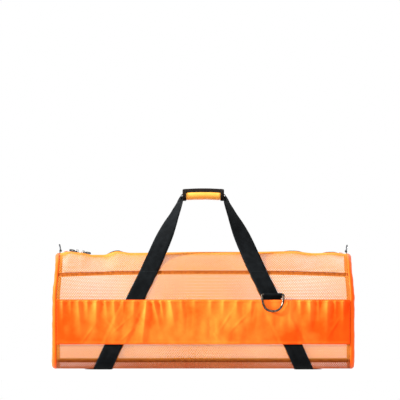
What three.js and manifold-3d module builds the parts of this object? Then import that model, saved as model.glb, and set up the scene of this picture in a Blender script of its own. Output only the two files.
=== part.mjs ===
import * as THREE from 'three';
import { mergeVertices } from 'three/addons/utils/BufferGeometryUtils.js';
import Module from 'manifold-3d';

// Mesh dive gear bag with two webbing handles, built from net panels, a gathered band and a zip.
// Millimetres. +X runs along the bag, the front faces -Y, +Z is up and the floor is Z = 0.

const wasm = await Module();
wasm.setup();

// Main sizes of the filled bag
const seamLength = 778;
const bodyDepth = 350;
const bodyHeight = 312;
const bottomRadius = 50;
const topRadius = 110;
const sideBulge = 6;
const endNarrowing = 10;
const endLean = 8;
const seamDroop = 7;
const crownRise = 3;
const waveStart = 0.8;
const leanStart = 0.6;

// Cloth, webbing and the gap that separate pieces keep
const netWall = 1.5;
const nylonWall = 1.2;
const tapeWall = 1.0;
const gap = 0.35;

// Seam tapes and end panels
const lowerSeamHeight = 23;
const upperSeamHeight = 259;
const tapeWidth = 9;
const rimOut = 11;

// Orange band round the long sides
const bandBottom = 67;
const bandTop = 185;
const foldHeight = 6;
const bandColumns = 46;

// Handles
const webWidth = 50;
const gripWebWidth = 45.5;
const webWall = 2;
const gripLength = 111;
const gripHeight = 33.5;
const gripDepth = 56;
const gripTop = 482;
const gripBend = 8;
const bindingWidth = 9;
const bindingWall = 1.5;
const legFootX = 290;
const legFloorX = 267;
const legLeaveX = 144;
const legLeaveTurn = 0.4;
const legSpread = 4.5;
const gripClear = 1;

// Front ring and end rings
const ringWire = 6;
const ringInnerWidth = 51;
const ringInnerHeight = 38;
const ringTabHeight = 14;
const ringTabX = 184;
const ringTabZ = 189;
const ringTabInset = 1;
const ringLeanAngle = 7;
const endRingWire = 4;
const endRingInnerWidth = 26;
const endRingInnerHeight = 12;
const endRingLeanAngle = 10;
const endTabStem = 1.5;
const endTabInset = 1.5;
const endTabLift = 0.5;
const loopSides = 16;
const ringSteps = 14;
const ringBarShare = 0.5;
const ringShoulder = 0.75;
const ringFall = 0.8;

// Zip along the crown of the top
const chainWidth = 7;
const chainWall = 3;
const zipTapeWidth = 13;
const slitShow = 6.5;
const zipEndInset = 21;
const zipEndTabLength = 10;
const zipEndTabWidth = 34;
const sliderLength = 13;
const sliderWidth = 11;
const sliderPlate = 1.4;
const sliderGap = 3;
const postSize = 2.6;
const postInset = 0.2;
const pairInset = 33;
const bridgeLength = 9;
const bridgeOpening = 3.6;
const bridgeWire = 1.6;
const bridgeWidth = 2.5;
const pullLength = 22;
const pullWidth = 9;
const pullWall = 2.4;
const pullHole = 6;
const crossbar = 1.8;

// Height of the top line along the bag, as a share of the body height
const topLine = [
  { along: -1.0, height: 0.993 },
  { along: -0.94, height: 1.007 },
  { along: -0.86, height: 0.997 },
  { along: -0.77, height: 0.978 },
  { along: -0.7, height: 0.978 },
  { along: -0.6, height: 1.008 },
  { along: -0.5, height: 0.995 },
  { along: 0.0, height: 1.003 },
  { along: 0.3, height: 1.003 },
  { along: 0.62, height: 1.009 },
  { along: 0.78, height: 0.992 },
  { along: 0.9, height: 0.998 },
  { along: 1.0, height: 0.987 },
];

// Gathers under the band's top hem: place and width along the bag, height as a share of foldHeight
const frontFolds = [
  { along: -0.96, wide: 0.03, high: 0.8 },
  { along: -0.85, wide: 0.04, high: 1.0 },
  { along: -0.73, wide: 0.035, high: 0.9 },
  { along: -0.61, wide: 0.04, high: 0.8 },
  { along: -0.36, wide: 0.03, high: 1.0 },
  { along: -0.23, wide: 0.035, high: 0.6 },
  { along: 0.2, wide: 0.04, high: 0.4 },
  { along: 0.61, wide: 0.035, high: 0.8 },
  { along: 0.73, wide: 0.04, high: 1.0 },
  { along: 0.85, wide: 0.04, high: 0.9 },
  { along: 0.95, wide: 0.03, high: 0.7 },
];
const backFolds = [
  { along: -0.93, wide: 0.035, high: 0.8 },
  { along: -0.8, wide: 0.04, high: 1.0 },
  { along: -0.66, wide: 0.035, high: 0.8 },
  { along: -0.3, wide: 0.04, high: 0.6 },
  { along: 0.12, wide: 0.04, high: 0.5 },
  { along: 0.36, wide: 0.035, high: 0.8 },
  { along: 0.64, wide: 0.04, high: 0.9 },
  { along: 0.82, wide: 0.04, high: 1.0 },
  { along: 0.94, wide: 0.03, high: 0.7 },
];

// End panel from its seam to its centre: distance out as a share of rimOut, and size left
const endRings = [
  { out: 0.0, size: 1.0 },
  { out: 0.6, size: 0.992 },
  { out: 1.0, size: 0.96 },
  { out: 1.0, size: 0.86 },
  { out: 0.7, size: 0.6 },
  { out: 0.6, size: 0.3 },
];

// Free part of a handle leg: height above where it leaves the bag, as a share of the whole climb,
// with the turn of its width from along the bag to across it, in degrees
const legTwist = [
  { climb: 0.12, turn: 0 },
  { climb: 0.28, turn: 6 },
  { climb: 0.44, turn: 20 },
  { climb: 0.58, turn: 38 },
  { climb: 0.7, turn: 53 },
  { climb: 0.78, turn: 64 },
  { climb: 0.85, turn: 76 },
  { climb: 0.91, turn: 90 },
  { climb: 1.0, turn: 90 },
];

const halfSeam = seamLength / 2;
const zipLength = seamLength - 2 * zipEndInset;
const halfDepth = bodyDepth / 2;
const floorClear = webWall + gap;
const quarter = Math.PI / 2;
const up = new THREE.Vector3(0, 0, 1);

function blend(a, b, k) {
  return a + (b - a) * k;
}

function smooth(k) {
  const c = THREE.MathUtils.clamp(k, 0, 1);
  return c * c * (3 - 2 * c);
}

// Smooth reading of a table at one place along the bag
function readTable(table, place, column) {
  let i = 0;
  while (i < table.length - 2 && place > table[i + 1].along) {
    i += 1;
  }
  const span = table[i + 1].along - table[i].along;
  return blend(table[i][column], table[i + 1][column], smooth((place - table[i].along) / span));
}

// Turn along the section: 0 floor middle, 1 to 2 bottom corner, 2 to 3 side, 3 to 4 top corner, 5 crown.
// Positive turns are the front half and negative ones the back half.
const sideLow = floorClear + bottomRadius;
const sideHigh = bodyHeight - topRadius;

function sectionPoint(turn) {
  const t = Math.abs(turn);
  const side = turn < 0 ? 1 : -1;
  if (t <= 1) return { y: side * (halfDepth - bottomRadius) * t, z: floorClear, ny: 0, nz: -1 };
  if (t <= 2) {
    const a = (t - 1) * quarter;
    const y = halfDepth - bottomRadius + bottomRadius * Math.sin(a);
    return { y: side * y, z: sideLow - bottomRadius * Math.cos(a), ny: side * Math.sin(a), nz: -Math.cos(a) };
  }
  if (t <= 3) {
    const y = halfDepth + sideBulge * Math.sin((t - 2) * Math.PI);
    return { y: side * y, z: blend(sideLow, sideHigh, t - 2), ny: side, nz: 0 };
  }
  const flat = halfDepth - topRadius;
  if (t <= 4) {
    const a = (t - 3) * quarter;
    const y = flat + topRadius * Math.cos(a);
    const z = sideHigh + (topRadius - crownRise) * Math.sin(a);
    return { y: side * y, z, ny: side * Math.cos(a), nz: Math.sin(a) };
  }
  const z = bodyHeight - crownRise + crownRise * Math.sin((t - 4) * quarter);
  return { y: side * flat * (5 - t), z, ny: 0, nz: 1 };
}

// The turns of the two long seams and of the band's edges follow from their heights
const lowerSeam = 1 + Math.acos((sideLow - lowerSeamHeight) / bottomRadius) / quarter;
const upperSeam = 3 + Math.asin((upperSeamHeight - sideHigh) / (topRadius - crownRise)) / quarter;
const bandLow = 2 + (bandBottom - sideLow) / (sideHigh - sideLow);
const bandHigh = 2 + (bandTop - sideLow) / (sideHigh - sideLow);
const crownSpan = halfDepth - topRadius;
const zipEdge = 5 - (chainWidth / 2 + slitShow) / crownSpan;
const tapeEdge = 5 - (chainWidth / 2 + gap + zipTapeWidth) / crownSpan;
const chainEdge = 5 - (chainWidth / 2 + gap) / crownSpan;

// Rows of the section and stations along the bag that all layers share, so that they nest
const lowRows = [1, 1.3, lowerSeam, 1.8, 2, bandLow, 2.36, 2.62, bandHigh];
const highRows = [3, 3.18, upperSeam, 3.57, 3.78, 4, 4.4, zipEdge, 5];
const frontRows = lowRows.concat(highRows);
const rows = frontRows.slice().reverse().map((t) => -t).concat([0], frontRows);
const rowMargin = 0.01;
const stationCount = 20;
const stations = [];
for (let i = 0; i <= stationCount; i += 1) {
  stations.push(blend(-halfSeam, halfSeam, i / stationCount));
}

// Place on the filled bag's skin, off along the section's outward direction
function skinPoint(x, turn, off) {
  const p = sectionPoint(turn);
  const u = x / halfSeam;
  const y = p.y * (1 - (endNarrowing / halfDepth) * u * u) + p.ny * off;
  const share = p.z / bodyHeight;
  const topShare = smooth((share - waveStart) / (1 - waveStart));
  const lift = (readTable(topLine, u, 'height') - 1) * bodyHeight * topShare;
  const upperShare = smooth((share - leanStart) / (1 - leanStart));
  const droop = seamDroop * Math.abs(u) ** 3 * Math.sin(Math.PI * upperShare);
  const z = p.z + p.nz * off + lift - droop;
  const lean = (endLean / halfSeam) * upperShare;
  return new THREE.Vector3(x * (1 - lean), y, z);
}

function bracket(list, value) {
  let i = 0;
  while (i < list.length - 2 && value > list[i + 1]) {
    i += 1;
  }
  return { i, k: (value - list[i]) / (list[i + 1] - list[i]) };
}

// The same place on the flat facets between shared rows and stations
function onSkin(x, turn, off) {
  const a = bracket(stations, x);
  const b = bracket(rows, turn);
  const onRow = (row) => {
    const start = skinPoint(stations[a.i], row, off);
    return start.lerp(skinPoint(stations[a.i + 1], row, off), a.k);
  };
  return onRow(rows[b.i]).lerp(onRow(rows[b.i + 1]), b.k);
}

// A closed mesh from points and triangles, turned so that its faces point out
function closedMesh(points, faces) {
  const geometry = new THREE.BufferGeometry();
  const places = points.flatMap((p) => [p.x, p.y, p.z]);
  geometry.setAttribute('position', new THREE.Float32BufferAttribute(places, 3));
  let volume = 0;
  for (const [a, b, c] of faces) {
    volume += points[a].dot(points[b].clone().cross(points[c]));
  }
  const outward = volume < 0 ? faces.map(([a, b, c]) => [a, c, b]) : faces;
  geometry.setIndex(outward.flat());
  return geometry;
}

// A cloth wall between two grids of points
function clothWall(outer, inner) {
  const tall = outer.length;
  const wide = outer[0].length;
  const points = outer.flat().concat(inner.flat());
  const faces = [];
  const at = (i, j) => i * wide + j;
  const back = tall * wide;
  const quad = (a, b, c, d) => faces.push([a, b, c], [a, c, d]);
  for (let i = 0; i < tall - 1; i += 1) {
    for (let j = 0; j < wide - 1; j += 1) {
      quad(at(i, j), at(i, j + 1), at(i + 1, j + 1), at(i + 1, j));
      quad(back + at(i, j), back + at(i + 1, j), back + at(i + 1, j + 1), back + at(i, j + 1));
    }
  }
  for (let j = 0; j < wide - 1; j += 1) {
    quad(at(0, j + 1), at(0, j), back + at(0, j), back + at(0, j + 1));
    quad(at(tall - 1, j), at(tall - 1, j + 1), back + at(tall - 1, j + 1), back + at(tall - 1, j));
  }
  for (let i = 0; i < tall - 1; i += 1) {
    quad(at(i, 0), at(i + 1, 0), back + at(i + 1, 0), back + at(i, 0));
    quad(at(i + 1, wide - 1), at(i, wide - 1), back + at(i, wide - 1), back + at(i + 1, wide - 1));
  }
  return closedMesh(points, faces);
}

// A tube of four-sided sections along a closed loop of places
function closedBand(sections) {
  const points = sections.flat();
  const sides = sections[0].length;
  const faces = [];
  sections.forEach((_, i) => {
    const next = ((i + 1) % sections.length) * sides;
    for (let j = 0; j < sides; j += 1) {
      const k = (j + 1) % sides;
      faces.push([i * sides + j, i * sides + k, next + k], [i * sides + j, next + k, next + j]);
    }
  });
  return closedMesh(points, faces);
}

// A strip of webbing: sections of four corners from end to end
function openBand(sections) {
  const last = (sections.length - 1) * 4;
  const faces = [[0, 2, 1], [0, 3, 2], [last, last + 1, last + 2], [last, last + 2, last + 3]];
  for (let i = 0; i < sections.length - 1; i += 1) {
    for (let j = 0; j < 4; j += 1) {
      const k = (j + 1) % 4;
      faces.push([i * 4 + j, i * 4 + k, (i + 1) * 4 + k], [i * 4 + j, (i + 1) * 4 + k, (i + 1) * 4 + j]);
    }
  }
  return closedMesh(sections.flat(), faces);
}

// Four corners of a strip's section, from its middle, half width and outward direction
function stripSection(middle, halfWidth, out, wall) {
  const inner = middle.clone().addScaledVector(out, -wall / 2);
  const outer = middle.clone().addScaledVector(out, wall / 2);
  return [
    inner.clone().sub(halfWidth),
    inner.clone().add(halfWidth),
    outer.clone().add(halfWidth),
    outer.clone().sub(halfWidth),
  ];
}

function solid(geometry) {
  const bare = geometry.clone();
  bare.deleteAttribute('normal');
  bare.deleteAttribute('uv');
  const joined = mergeVertices(bare, 1e-4);
  const vertProperties = new Float32Array(joined.attributes.position.array);
  const triVerts = new Uint32Array(joined.index.array);
  return new wasm.Manifold(new wasm.Mesh({ numProp: 3, vertProperties, triVerts }));
}

function shape(manifold) {
  const mesh = manifold.getMesh();
  const geometry = new THREE.BufferGeometry();
  geometry.setAttribute('position', new THREE.BufferAttribute(mesh.vertProperties, 3));
  geometry.setIndex(new THREE.BufferAttribute(mesh.triVerts, 1));
  return geometry;
}

function block(lengths, middle) {
  return new THREE.BoxGeometry(...lengths).translate(...middle);
}

function cloth(colour, roughness) {
  return new THREE.MeshStandardMaterial({ color: colour, roughness, metalness: 0 });
}

function netting() {
  return cloth('#fac496', 0.9);
}

function floorNetting() {
  return cloth('#f0a878', 0.9);
}

function bindingTape() {
  return cloth('#c36023', 0.8);
}

function shellNylon() {
  return cloth('#f8691b', 0.45);
}

function webbing() {
  return cloth('#15181b', 0.7);
}

function zipFabric() {
  return cloth('#1a1c1e', 0.8);
}

function mouldedPlastic() {
  return cloth('#141719', 0.6);
}

function steel() {
  return new THREE.MeshStandardMaterial({ color: '#878c90', roughness: 0.3, metalness: 1 });
}

const bag = new THREE.Group();

function add(name, geometry, material) {
  const mesh = new THREE.Mesh(geometry, material);
  mesh.name = name;
  bag.add(mesh);
  return mesh;
}

// A panel of cloth between two turns of the section, over the whole length between the end seams
function panel(from, to) {
  const edges = [from, ...rows.filter((t) => t > from + rowMargin && t < to - rowMargin), to];
  const reach = 1 - (2 * gap) / seamLength;
  const grid = (off) => edges.map((t) => stations.map((x) => onSkin(x * reach, t, off)));
  return clothWall(grid(0), grid(-netWall));
}

// Half of the gap between two panels, in turns of the corner that the seam lies on
const lowerHalfGap = gap / 2 / (bottomRadius * quarter);
const upperHalfGap = gap / 2 / (topRadius * quarter);

function netPanels() {
  add('bottom_panel', panel(-lowerSeam + lowerHalfGap, lowerSeam - lowerHalfGap), floorNetting());
  add('front_panel', panel(lowerSeam + lowerHalfGap, upperSeam - upperHalfGap), netting());
  add('back_panel', panel(-upperSeam + upperHalfGap, -lowerSeam - lowerHalfGap), netting());
  add('top_panel_front', panel(upperSeam + upperHalfGap, zipEdge), netting());
  add('top_panel_back', panel(-zipEdge, -upperSeam - upperHalfGap), netting());
}

// One orange end, from the seam round its rim to the middle
function endPanel(side) {
  const loop = rows.slice(1);
  const middle = (bodyHeight + floorClear) / 2;
  const ringsOf = (wall) => endRings.map((ring) => loop.map((t) => {
    const p = skinPoint(side * halfSeam, t, -wall);
    const out = side * (gap + rimOut * ring.out - (ring.out > 0 ? wall : 0));
    return new THREE.Vector3(p.x + out, p.y * ring.size, middle + (p.z - middle) * ring.size);
  }));
  const outer = ringsOf(0);
  const inner = ringsOf(nylonWall);
  const wide = loop.length;
  const points = outer.flat().concat(inner.flat());
  const back = outer.length * wide;
  const centre = points.length;
  const deepest = endRings[endRings.length - 1].out * rimOut + gap;
  points.push(new THREE.Vector3(side * (halfSeam + deepest - endLean / 2), 0, middle));
  points.push(new THREE.Vector3(side * (halfSeam + deepest - nylonWall - endLean / 2), 0, middle));
  const faces = [];
  for (let j = 0; j < wide; j += 1) {
    const k = (j + 1) % wide;
    for (let i = 0; i < outer.length - 1; i += 1) {
      const a = i * wide;
      const b = a + wide;
      faces.push([a + j, a + k, b + k], [a + j, b + k, b + j]);
      faces.push([back + a + j, back + b + k, back + a + k], [back + a + j, back + b + j, back + b + k]);
    }
    const edge = (outer.length - 1) * wide;
    faces.push([edge + j, edge + k, centre], [back + edge + j, centre + 1, back + edge + k]);
    faces.push([j, back + k, k], [j, back + j, back + k]);
  }
  return closedMesh(points, faces);
}

// Binding tape inside an end seam, all the way round
function endBinding(side) {
  const near = netWall + gap;
  const far = near + tapeWall;
  const outX = side * (halfSeam - gap);
  const inX = side * (halfSeam - gap - tapeWidth);
  const sections = rows.slice(1).map((t) => [
    onSkin(outX, t, -near),
    onSkin(inX, t, -near),
    onSkin(inX, t, -far),
    onSkin(outX, t, -far),
  ]);
  return closedBand(sections);
}

// Binding tape inside a long seam, between the two end bindings
function seamTape(turn, radius) {
  const half = tapeWidth / 2 / (radius * quarter);
  const reach = 1 - (2 * (tapeWidth + 2 * gap)) / seamLength;
  const turns = [turn - half, turn, turn + half];
  const grid = (off) => turns.map((t) => stations.map((x) => onSkin(x * reach, t, off)));
  return clothWall(grid(-netWall - gap), grid(-netWall - gap - tapeWall));
}

function seamTapes() {
  add('seam_tape_upper_front', seamTape(upperSeam, topRadius), bindingTape());
  add('seam_tape_upper_back', seamTape(-upperSeam, topRadius), bindingTape());
  add('seam_tape_lower_front', seamTape(lowerSeam, bottomRadius), bindingTape());
  add('seam_tape_lower_back', seamTape(-lowerSeam, bottomRadius), bindingTape());
}

// Gathered band: it lies over the handle legs and stands out where the cloth is gathered
const overLegs = gap + webWall + gap;

function foldRise(folds, x, turn) {
  const u = x / halfSeam;
  const fade = smooth((Math.abs(turn) - bandLow) / (bandHigh - bandLow));
  let rise = 0;
  for (const fold of folds) {
    rise += fold.high * Math.exp(-(((u - fold.along) / fold.wide) ** 2));
  }
  return foldHeight * fade * rise;
}

function band(side, folds) {
  const turns = rows.filter((t) => side * t >= bandLow && side * t <= bandHigh);
  const xs = [];
  for (let i = 0; i <= bandColumns; i += 1) {
    xs.push(blend(-1, 1, i / bandColumns) * (halfSeam - gap));
  }
  const place = (x, t, off) => onSkin(x, t, overLegs + off + foldRise(folds, x, t));
  const grid = (off) => turns.map((t) => xs.map((x) => place(x, t, off)));
  return clothWall(grid(nylonWall), grid(0));
}

// Where the free part of the handles starts and ends
const gripMiddle = gripTop - gripHeight / 2;
const leaveTurn = 3 + legLeaveTurn;

// Distance of a leg from the middle of the bag: straight in height on the side, running out under it
function legX(turn) {
  if (turn <= 1) return blend(legFootX, legFloorX, turn);
  const low = sectionPoint(1).z;
  const high = sectionPoint(leaveTurn).z;
  return blend(legFloorX, legLeaveX, (sectionPoint(turn).z - low) / (high - low));
}

// One leg from the middle of the floor to the grip's end; side -1 is left, face -1 is the front
function legSections(side, face, lift) {
  const sections = [];
  const front = -face;
  const turns = rows.filter((t) => t > 0 && t < leaveTurn - rowMargin).concat([leaveTurn]);
  const foot = gap / 2 / (halfDepth - bottomRadius);
  for (const t of [foot, ...turns]) {
    const near = side * (legX(t) - webWidth / 2);
    const far = side * (legX(t) + webWidth / 2);
    sections.push([
      onSkin(near, front * t, gap),
      onSkin(far, front * t, gap),
      onSkin(far, front * t, gap + webWall),
      onSkin(near, front * t, gap + webWall),
    ]);
  }
  const start = onSkin(side * legX(leaveTurn), front * leaveTurn, gap + webWall / 2);
  const bend = gripBend + lift;
  const hubOut = gripLength / 2 + gripClear + (lift > 0 ? legSpread : 0);
  const hub = new THREE.Vector3(side * hubOut, 0, gripMiddle - gripBend - webWall);
  const end = new THREE.Vector3(side * bend, 0, 0).add(hub);
  for (const row of legTwist) {
    const middle = start.clone().lerp(end, row.climb);
    const angle = THREE.MathUtils.degToRad(row.turn) * side * -face;
    const climb = end.clone().sub(start).normalize();
    const width = new THREE.Vector3(side, 0, 0).applyAxisAngle(up, angle);
    const out = new THREE.Vector3().crossVectors(width, climb).normalize().multiplyScalar(-side * face);
    const half = width.multiplyScalar(blend(webWidth, gripWebWidth, row.climb) / 2);
    sections.push(stripSection(middle, half, out, webWall));
  }
  const over = new THREE.Vector3(0, (-face * gripWebWidth) / 2, 0);
  for (const bendAngle of [22.5, 45, 67.5, 90]) {
    const angle = THREE.MathUtils.degToRad(bendAngle);
    const out = new THREE.Vector3(side * Math.cos(angle), 0, Math.sin(angle));
    sections.push(stripSection(hub.clone().addScaledVector(out, bend), over, out, webWall));
  }
  return sections;
}

// One handle: both legs and the run through the grip, in one length of webbing
function handle(face, lift) {
  return openBand(legSections(-1, face, lift).concat(legSections(1, face, lift).reverse()));
}

// Outline of the grip's cover, folded up round the webbing with both flaps together at the top
const stackLift = webWall + gap;
const flapHalf = 6;
const shoulder = { out: 0.3, high: 0.8 };
const cheek = { above: 0.6, below: 0.7 };
const keelHalf = 0.6;

function gripOutline(grow) {
  const half = gripHeight / 2 - bindingWall - gap + grow;
  const deep = gripDepth / 2 - bindingWall - gap + grow;
  const flap = flapHalf + grow;
  const outline = new THREE.Shape();
  outline.moveTo(-flap, half);
  outline.lineTo(flap, half);
  const top = half * shoulder.high;
  const out = flap + deep * shoulder.out;
  outline.bezierCurveTo(out, top, deep, half * cheek.above, deep, 0);
  outline.bezierCurveTo(deep, -half * cheek.below, deep * keelHalf, -half, 0, -half);
  outline.bezierCurveTo(-deep * keelHalf, -half, -deep, -half * cheek.below, -deep, 0);
  outline.bezierCurveTo(-deep, half * cheek.above, -out, top, -flap, half);
  return outline;
}

// A section drawn across the bag and up, drawn out along it
const alongBag = new THREE.Matrix4().makeBasis(
  new THREE.Vector3(0, 1, 0),
  new THREE.Vector3(0, 0, 1),
  new THREE.Vector3(1, 0, 0),
);

function drawnOut(section, length, curveSegments) {
  const geometry = new THREE.ExtrudeGeometry(section, { depth: length, bevelEnabled: false, curveSegments });
  return geometry.translate(0, 0, -length / 2).applyMatrix4(alongBag);
}

// Padded cover with a flat slot for the two handles' webbing
const coverSegments = 5;

function gripCover() {
  const whole = solid(drawnOut(gripOutline(0), gripLength, coverSegments));
  const low = -webWall - webWall / 2 - gap;
  const high = stackLift - webWall / 2 + gap;
  const lengths = [2 * gripLength, gripWebWidth + 2 * gap, high - low];
  return shape(whole.subtract(solid(block(lengths, [0, 0, (low + high) / 2]))));
}

// Binding over the flaps' edges and round both ends of the cover
function gripBinding() {
  const whole = solid(drawnOut(gripOutline(gap + bindingWall), gripLength, coverSegments));
  const room = solid(drawnOut(gripOutline(gap), 2 * gripLength, coverSegments));
  const lengths = [gripLength - 2 * bindingWidth, 2 * gripDepth, gripHeight];
  const window = solid(block(lengths, [0, 0, -bindingWidth]));
  return shape(whole.subtract(room).subtract(window));
}

// A round wire along a closed flat loop of points in the plane whose direction is `over`
function wireLoop(points, over, wire, sides) {
  const sections = points.map((p, i) => {
    const before = points[(i + points.length - 1) % points.length];
    const after = points[(i + 1) % points.length];
    const along = after.clone().sub(before).normalize();
    const out = new THREE.Vector3().crossVectors(along, over);
    const section = [];
    for (let j = 0; j < sides; j += 1) {
      const a = (2 * Math.PI * (j + 0.5)) / sides;
      const outward = p.clone().addScaledVector(out, (wire / 2) * Math.cos(a));
      section.push(outward.addScaledVector(over, (wire / 2) * Math.sin(a)));
    }
    return section;
  });
  return closedBand(sections);
}

// D-shaped ring hanging below its straight bar, which lies on the X axis
function ringShape(innerWidth, innerHeight, wire, sides) {
  const half = (innerWidth + wire) / 2;
  const tall = innerHeight + wire;
  const bar = half * ringBarShare;
  const points = [new THREE.Vector3(-bar, 0, 0), new THREE.Vector3(bar, 0, 0)];
  for (let i = 0; i <= ringSteps; i += 1) {
    const a = (Math.PI * i) / ringSteps;
    const x = half * Math.sign(Math.cos(a)) * Math.abs(Math.cos(a)) ** ringShoulder;
    points.push(new THREE.Vector3(x, 0, -tall * Math.sin(a) ** ringFall));
  }
  return wireLoop(points, new THREE.Vector3(0, 1, 0), wire, sides);
}

// Webbing folded round a ring's bar: a loop with its tail hanging from it, drawn out along X
function foldedTab(wire, tall, width) {
  const outer = wire / 2 + gap + tapeWall;
  const inner = outer - tapeWall;
  const loop = solid(new THREE.CylinderGeometry(outer, outer, width, loopSides).rotateZ(quarter));
  const bore = solid(new THREE.CylinderGeometry(inner, inner, 2 * width, loopSides).rotateZ(quarter));
  const tail = solid(block([width, 2 * tapeWall, tall - outer], [0, inner, (outer - tall) / 2]));
  return shape(loop.add(tail).subtract(bore));
}

// Ring on the right leg of the front handle, hanging over the band's top hem
const ringSeat = onSkin(ringTabX, bandHigh, gap + webWall + gap);
const ringLoop = ringWire / 2 + gap + tapeWall;
const ringLean = THREE.MathUtils.degToRad(ringLeanAngle);

function frontRing() {
  const tab = add('ring_tab', foldedTab(ringWire, ringTabHeight, webWidth - ringTabInset), webbing());
  tab.position.set(ringTabX, ringSeat.y - ringLoop, ringTabZ + ringTabHeight - ringLoop);
  const ring = add('front_ring', ringShape(ringInnerWidth, ringInnerHeight, ringWire, 8), steel());
  ring.position.copy(tab.position);
  ring.rotation.x = -ringLean;
}

// Ring standing on a short tab at the top of one end seam
const endRingLean = THREE.MathUtils.degToRad(endRingLeanAngle);
const endLoop = endRingWire / 2 + gap + tapeWall;

function endRing(side, name) {
  const seat = skinPoint(side * halfSeam, 5, 0);
  const tall = 2 * endLoop + endTabStem;
  const stand = new THREE.Group();
  stand.position.set(seat.x, 0, seat.z + gap + endTabLift);
  stand.rotation.set(0, side * endRingLean, 0);
  bag.add(stand);
  const tabShape = foldedTab(endRingWire, tall, endRingInnerWidth - endTabInset);
  const tab = new THREE.Mesh(tabShape, webbing());
  tab.name = `end_tab_${name}`;
  tab.rotation.z = -side * quarter;
  tab.position.z = tall - endLoop;
  tab.position.x = -side * (endLoop - tapeWall);
  const ringGeometry = ringShape(endRingInnerWidth, endRingInnerHeight, endRingWire, 6);
  const ring = new THREE.Mesh(ringGeometry.rotateX(Math.PI).rotateZ(quarter), steel());
  ring.name = `end_ring_${name}`;
  ring.position.copy(tab.position);
  stand.add(tab, ring);
}

// Zip: a tape under each panel's edge, the closed chain between them and an orange tab over each end
const tapeTop = -netWall - gap;
const chainTop = tapeTop - tapeWall / 2 + chainWall / 2;

const stationMargin = 1;

function zipStations() {
  const half = zipLength / 2;
  return [-half, ...stations.filter((x) => Math.abs(x) < half - stationMargin), half];
}

function zipTape(side) {
  const turns = [side * tapeEdge, side * zipEdge, side * chainEdge];
  const xs = zipStations();
  const grid = (off) => turns.map((t) => xs.map((x) => onSkin(x, t, off)));
  return clothWall(grid(tapeTop), grid(tapeTop - tapeWall));
}

function zipChain() {
  const edge = 5 - chainWidth / 2 / crownSpan;
  const chain = openBand(zipStations().map((x) => [
    onSkin(x, edge, chainTop - chainWall),
    onSkin(x, -edge, chainTop - chainWall),
    onSkin(x, -edge, chainTop),
    onSkin(x, edge, chainTop),
  ]));
  let cut = solid(chain);
  for (const side of [-1, 1]) {
    const seat = sliderSeat(side);
    const hole = block([postSize + 2 * gap, postSize + 2 * gap, chainWall * 3], [0, 0, -chainWall]);
    cut = cut.subtract(solid(hole.applyMatrix4(seat)));
  }
  return shape(cut);
}

function zipEndTab(side) {
  const middle = side * (zipLength / 2 + gap + zipEndTabLength / 2);
  const lean = zipEndTabWidth / 2 / crownSpan;
  const turns = [5 - lean, 5];
  const xs = [middle - zipEndTabLength / 2, middle + zipEndTabLength / 2];
  const line = (off) => turns.map((t) => xs.map((x) => onSkin(x, t, off)));
  const other = (off) => [xs.map((x) => onSkin(x, lean - 5, off))];
  const grid = (off) => line(off).concat(other(off));
  return clothWall(grid(gap + nylonWall), grid(gap));
}

// Two sliders head to head, each tilted with the chain below it
function sliderSeat(side) {
  const x = pairInset - zipLength / 2 + (side * (sliderLength + sliderGap)) / 2;
  const before = onSkin(x - sliderLength / 2, 5, 0);
  const after = onSkin(x + sliderLength / 2, 5, 0);
  const slope = Math.atan2(after.z - before.z, after.x - before.x);
  const turn = new THREE.Matrix4().makeRotationY(-slope);
  const middle = before.clone().lerp(after, 0.5);
  return new THREE.Matrix4().makeTranslation(middle.x, middle.y, middle.z).multiply(turn);
}

const plateLow = chainTop + gap;
const plateTop = plateLow + sliderPlate;
const underTop = chainTop - chainWall - gap;
const pullMiddle = plateTop + gap + pullWall / 2;

function sliderBody() {
  const plate = solid(block([sliderLength, sliderWidth, sliderPlate], [0, 0, plateLow + sliderPlate / 2]));
  const under = solid(block([sliderLength, sliderWidth, sliderPlate], [0, 0, underTop - sliderPlate / 2]));
  const postTall = plateTop - underTop + sliderPlate - 2 * postInset;
  const post = solid(block([postSize, postSize, postTall], [0, 0, (plateTop + underTop - sliderPlate) / 2]));
  const tall = bridgeOpening + bridgeWire;
  const archTall = tall + 2 * postInset;
  const arch = solid(block([bridgeLength, bridgeWidth, archTall], [0, 0, plateTop + tall / 2 - postInset]));
  const openingMiddle = [0, 0, plateTop + bridgeOpening / 2];
  const openingLengths = [bridgeLength - 2 * bridgeWire, 2 * bridgeWidth, bridgeOpening];
  const opening = solid(block(openingLengths, openingMiddle));
  return shape(plate.add(under).add(post).add(arch.subtract(opening)));
}

// Pull with a slot near its end, so that a crossbar lies under the bridge
function pullTab(side) {
  const reach = side * (pullLength / 2 - crossbar / 2);
  const tab = solid(block([pullLength, pullWidth, pullWall], [reach, 0, 0]));
  const slotX = side * (crossbar / 2 + pullHole / 2);
  const slot = solid(block([pullHole, bridgeWidth + crossbar, 2 * pullWall], [slotX, 0, 0]));
  return shape(tab.subtract(slot));
}

function slider(side, name) {
  const body = add(`slider_${name}`, sliderBody(), steel());
  body.applyMatrix4(sliderSeat(side));
  const pull = add(`pull_${name}`, pullTab(side), mouldedPlastic());
  pull.applyMatrix4(sliderSeat(side).multiply(new THREE.Matrix4().makeTranslation(0, 0, pullMiddle)));
}

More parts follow.
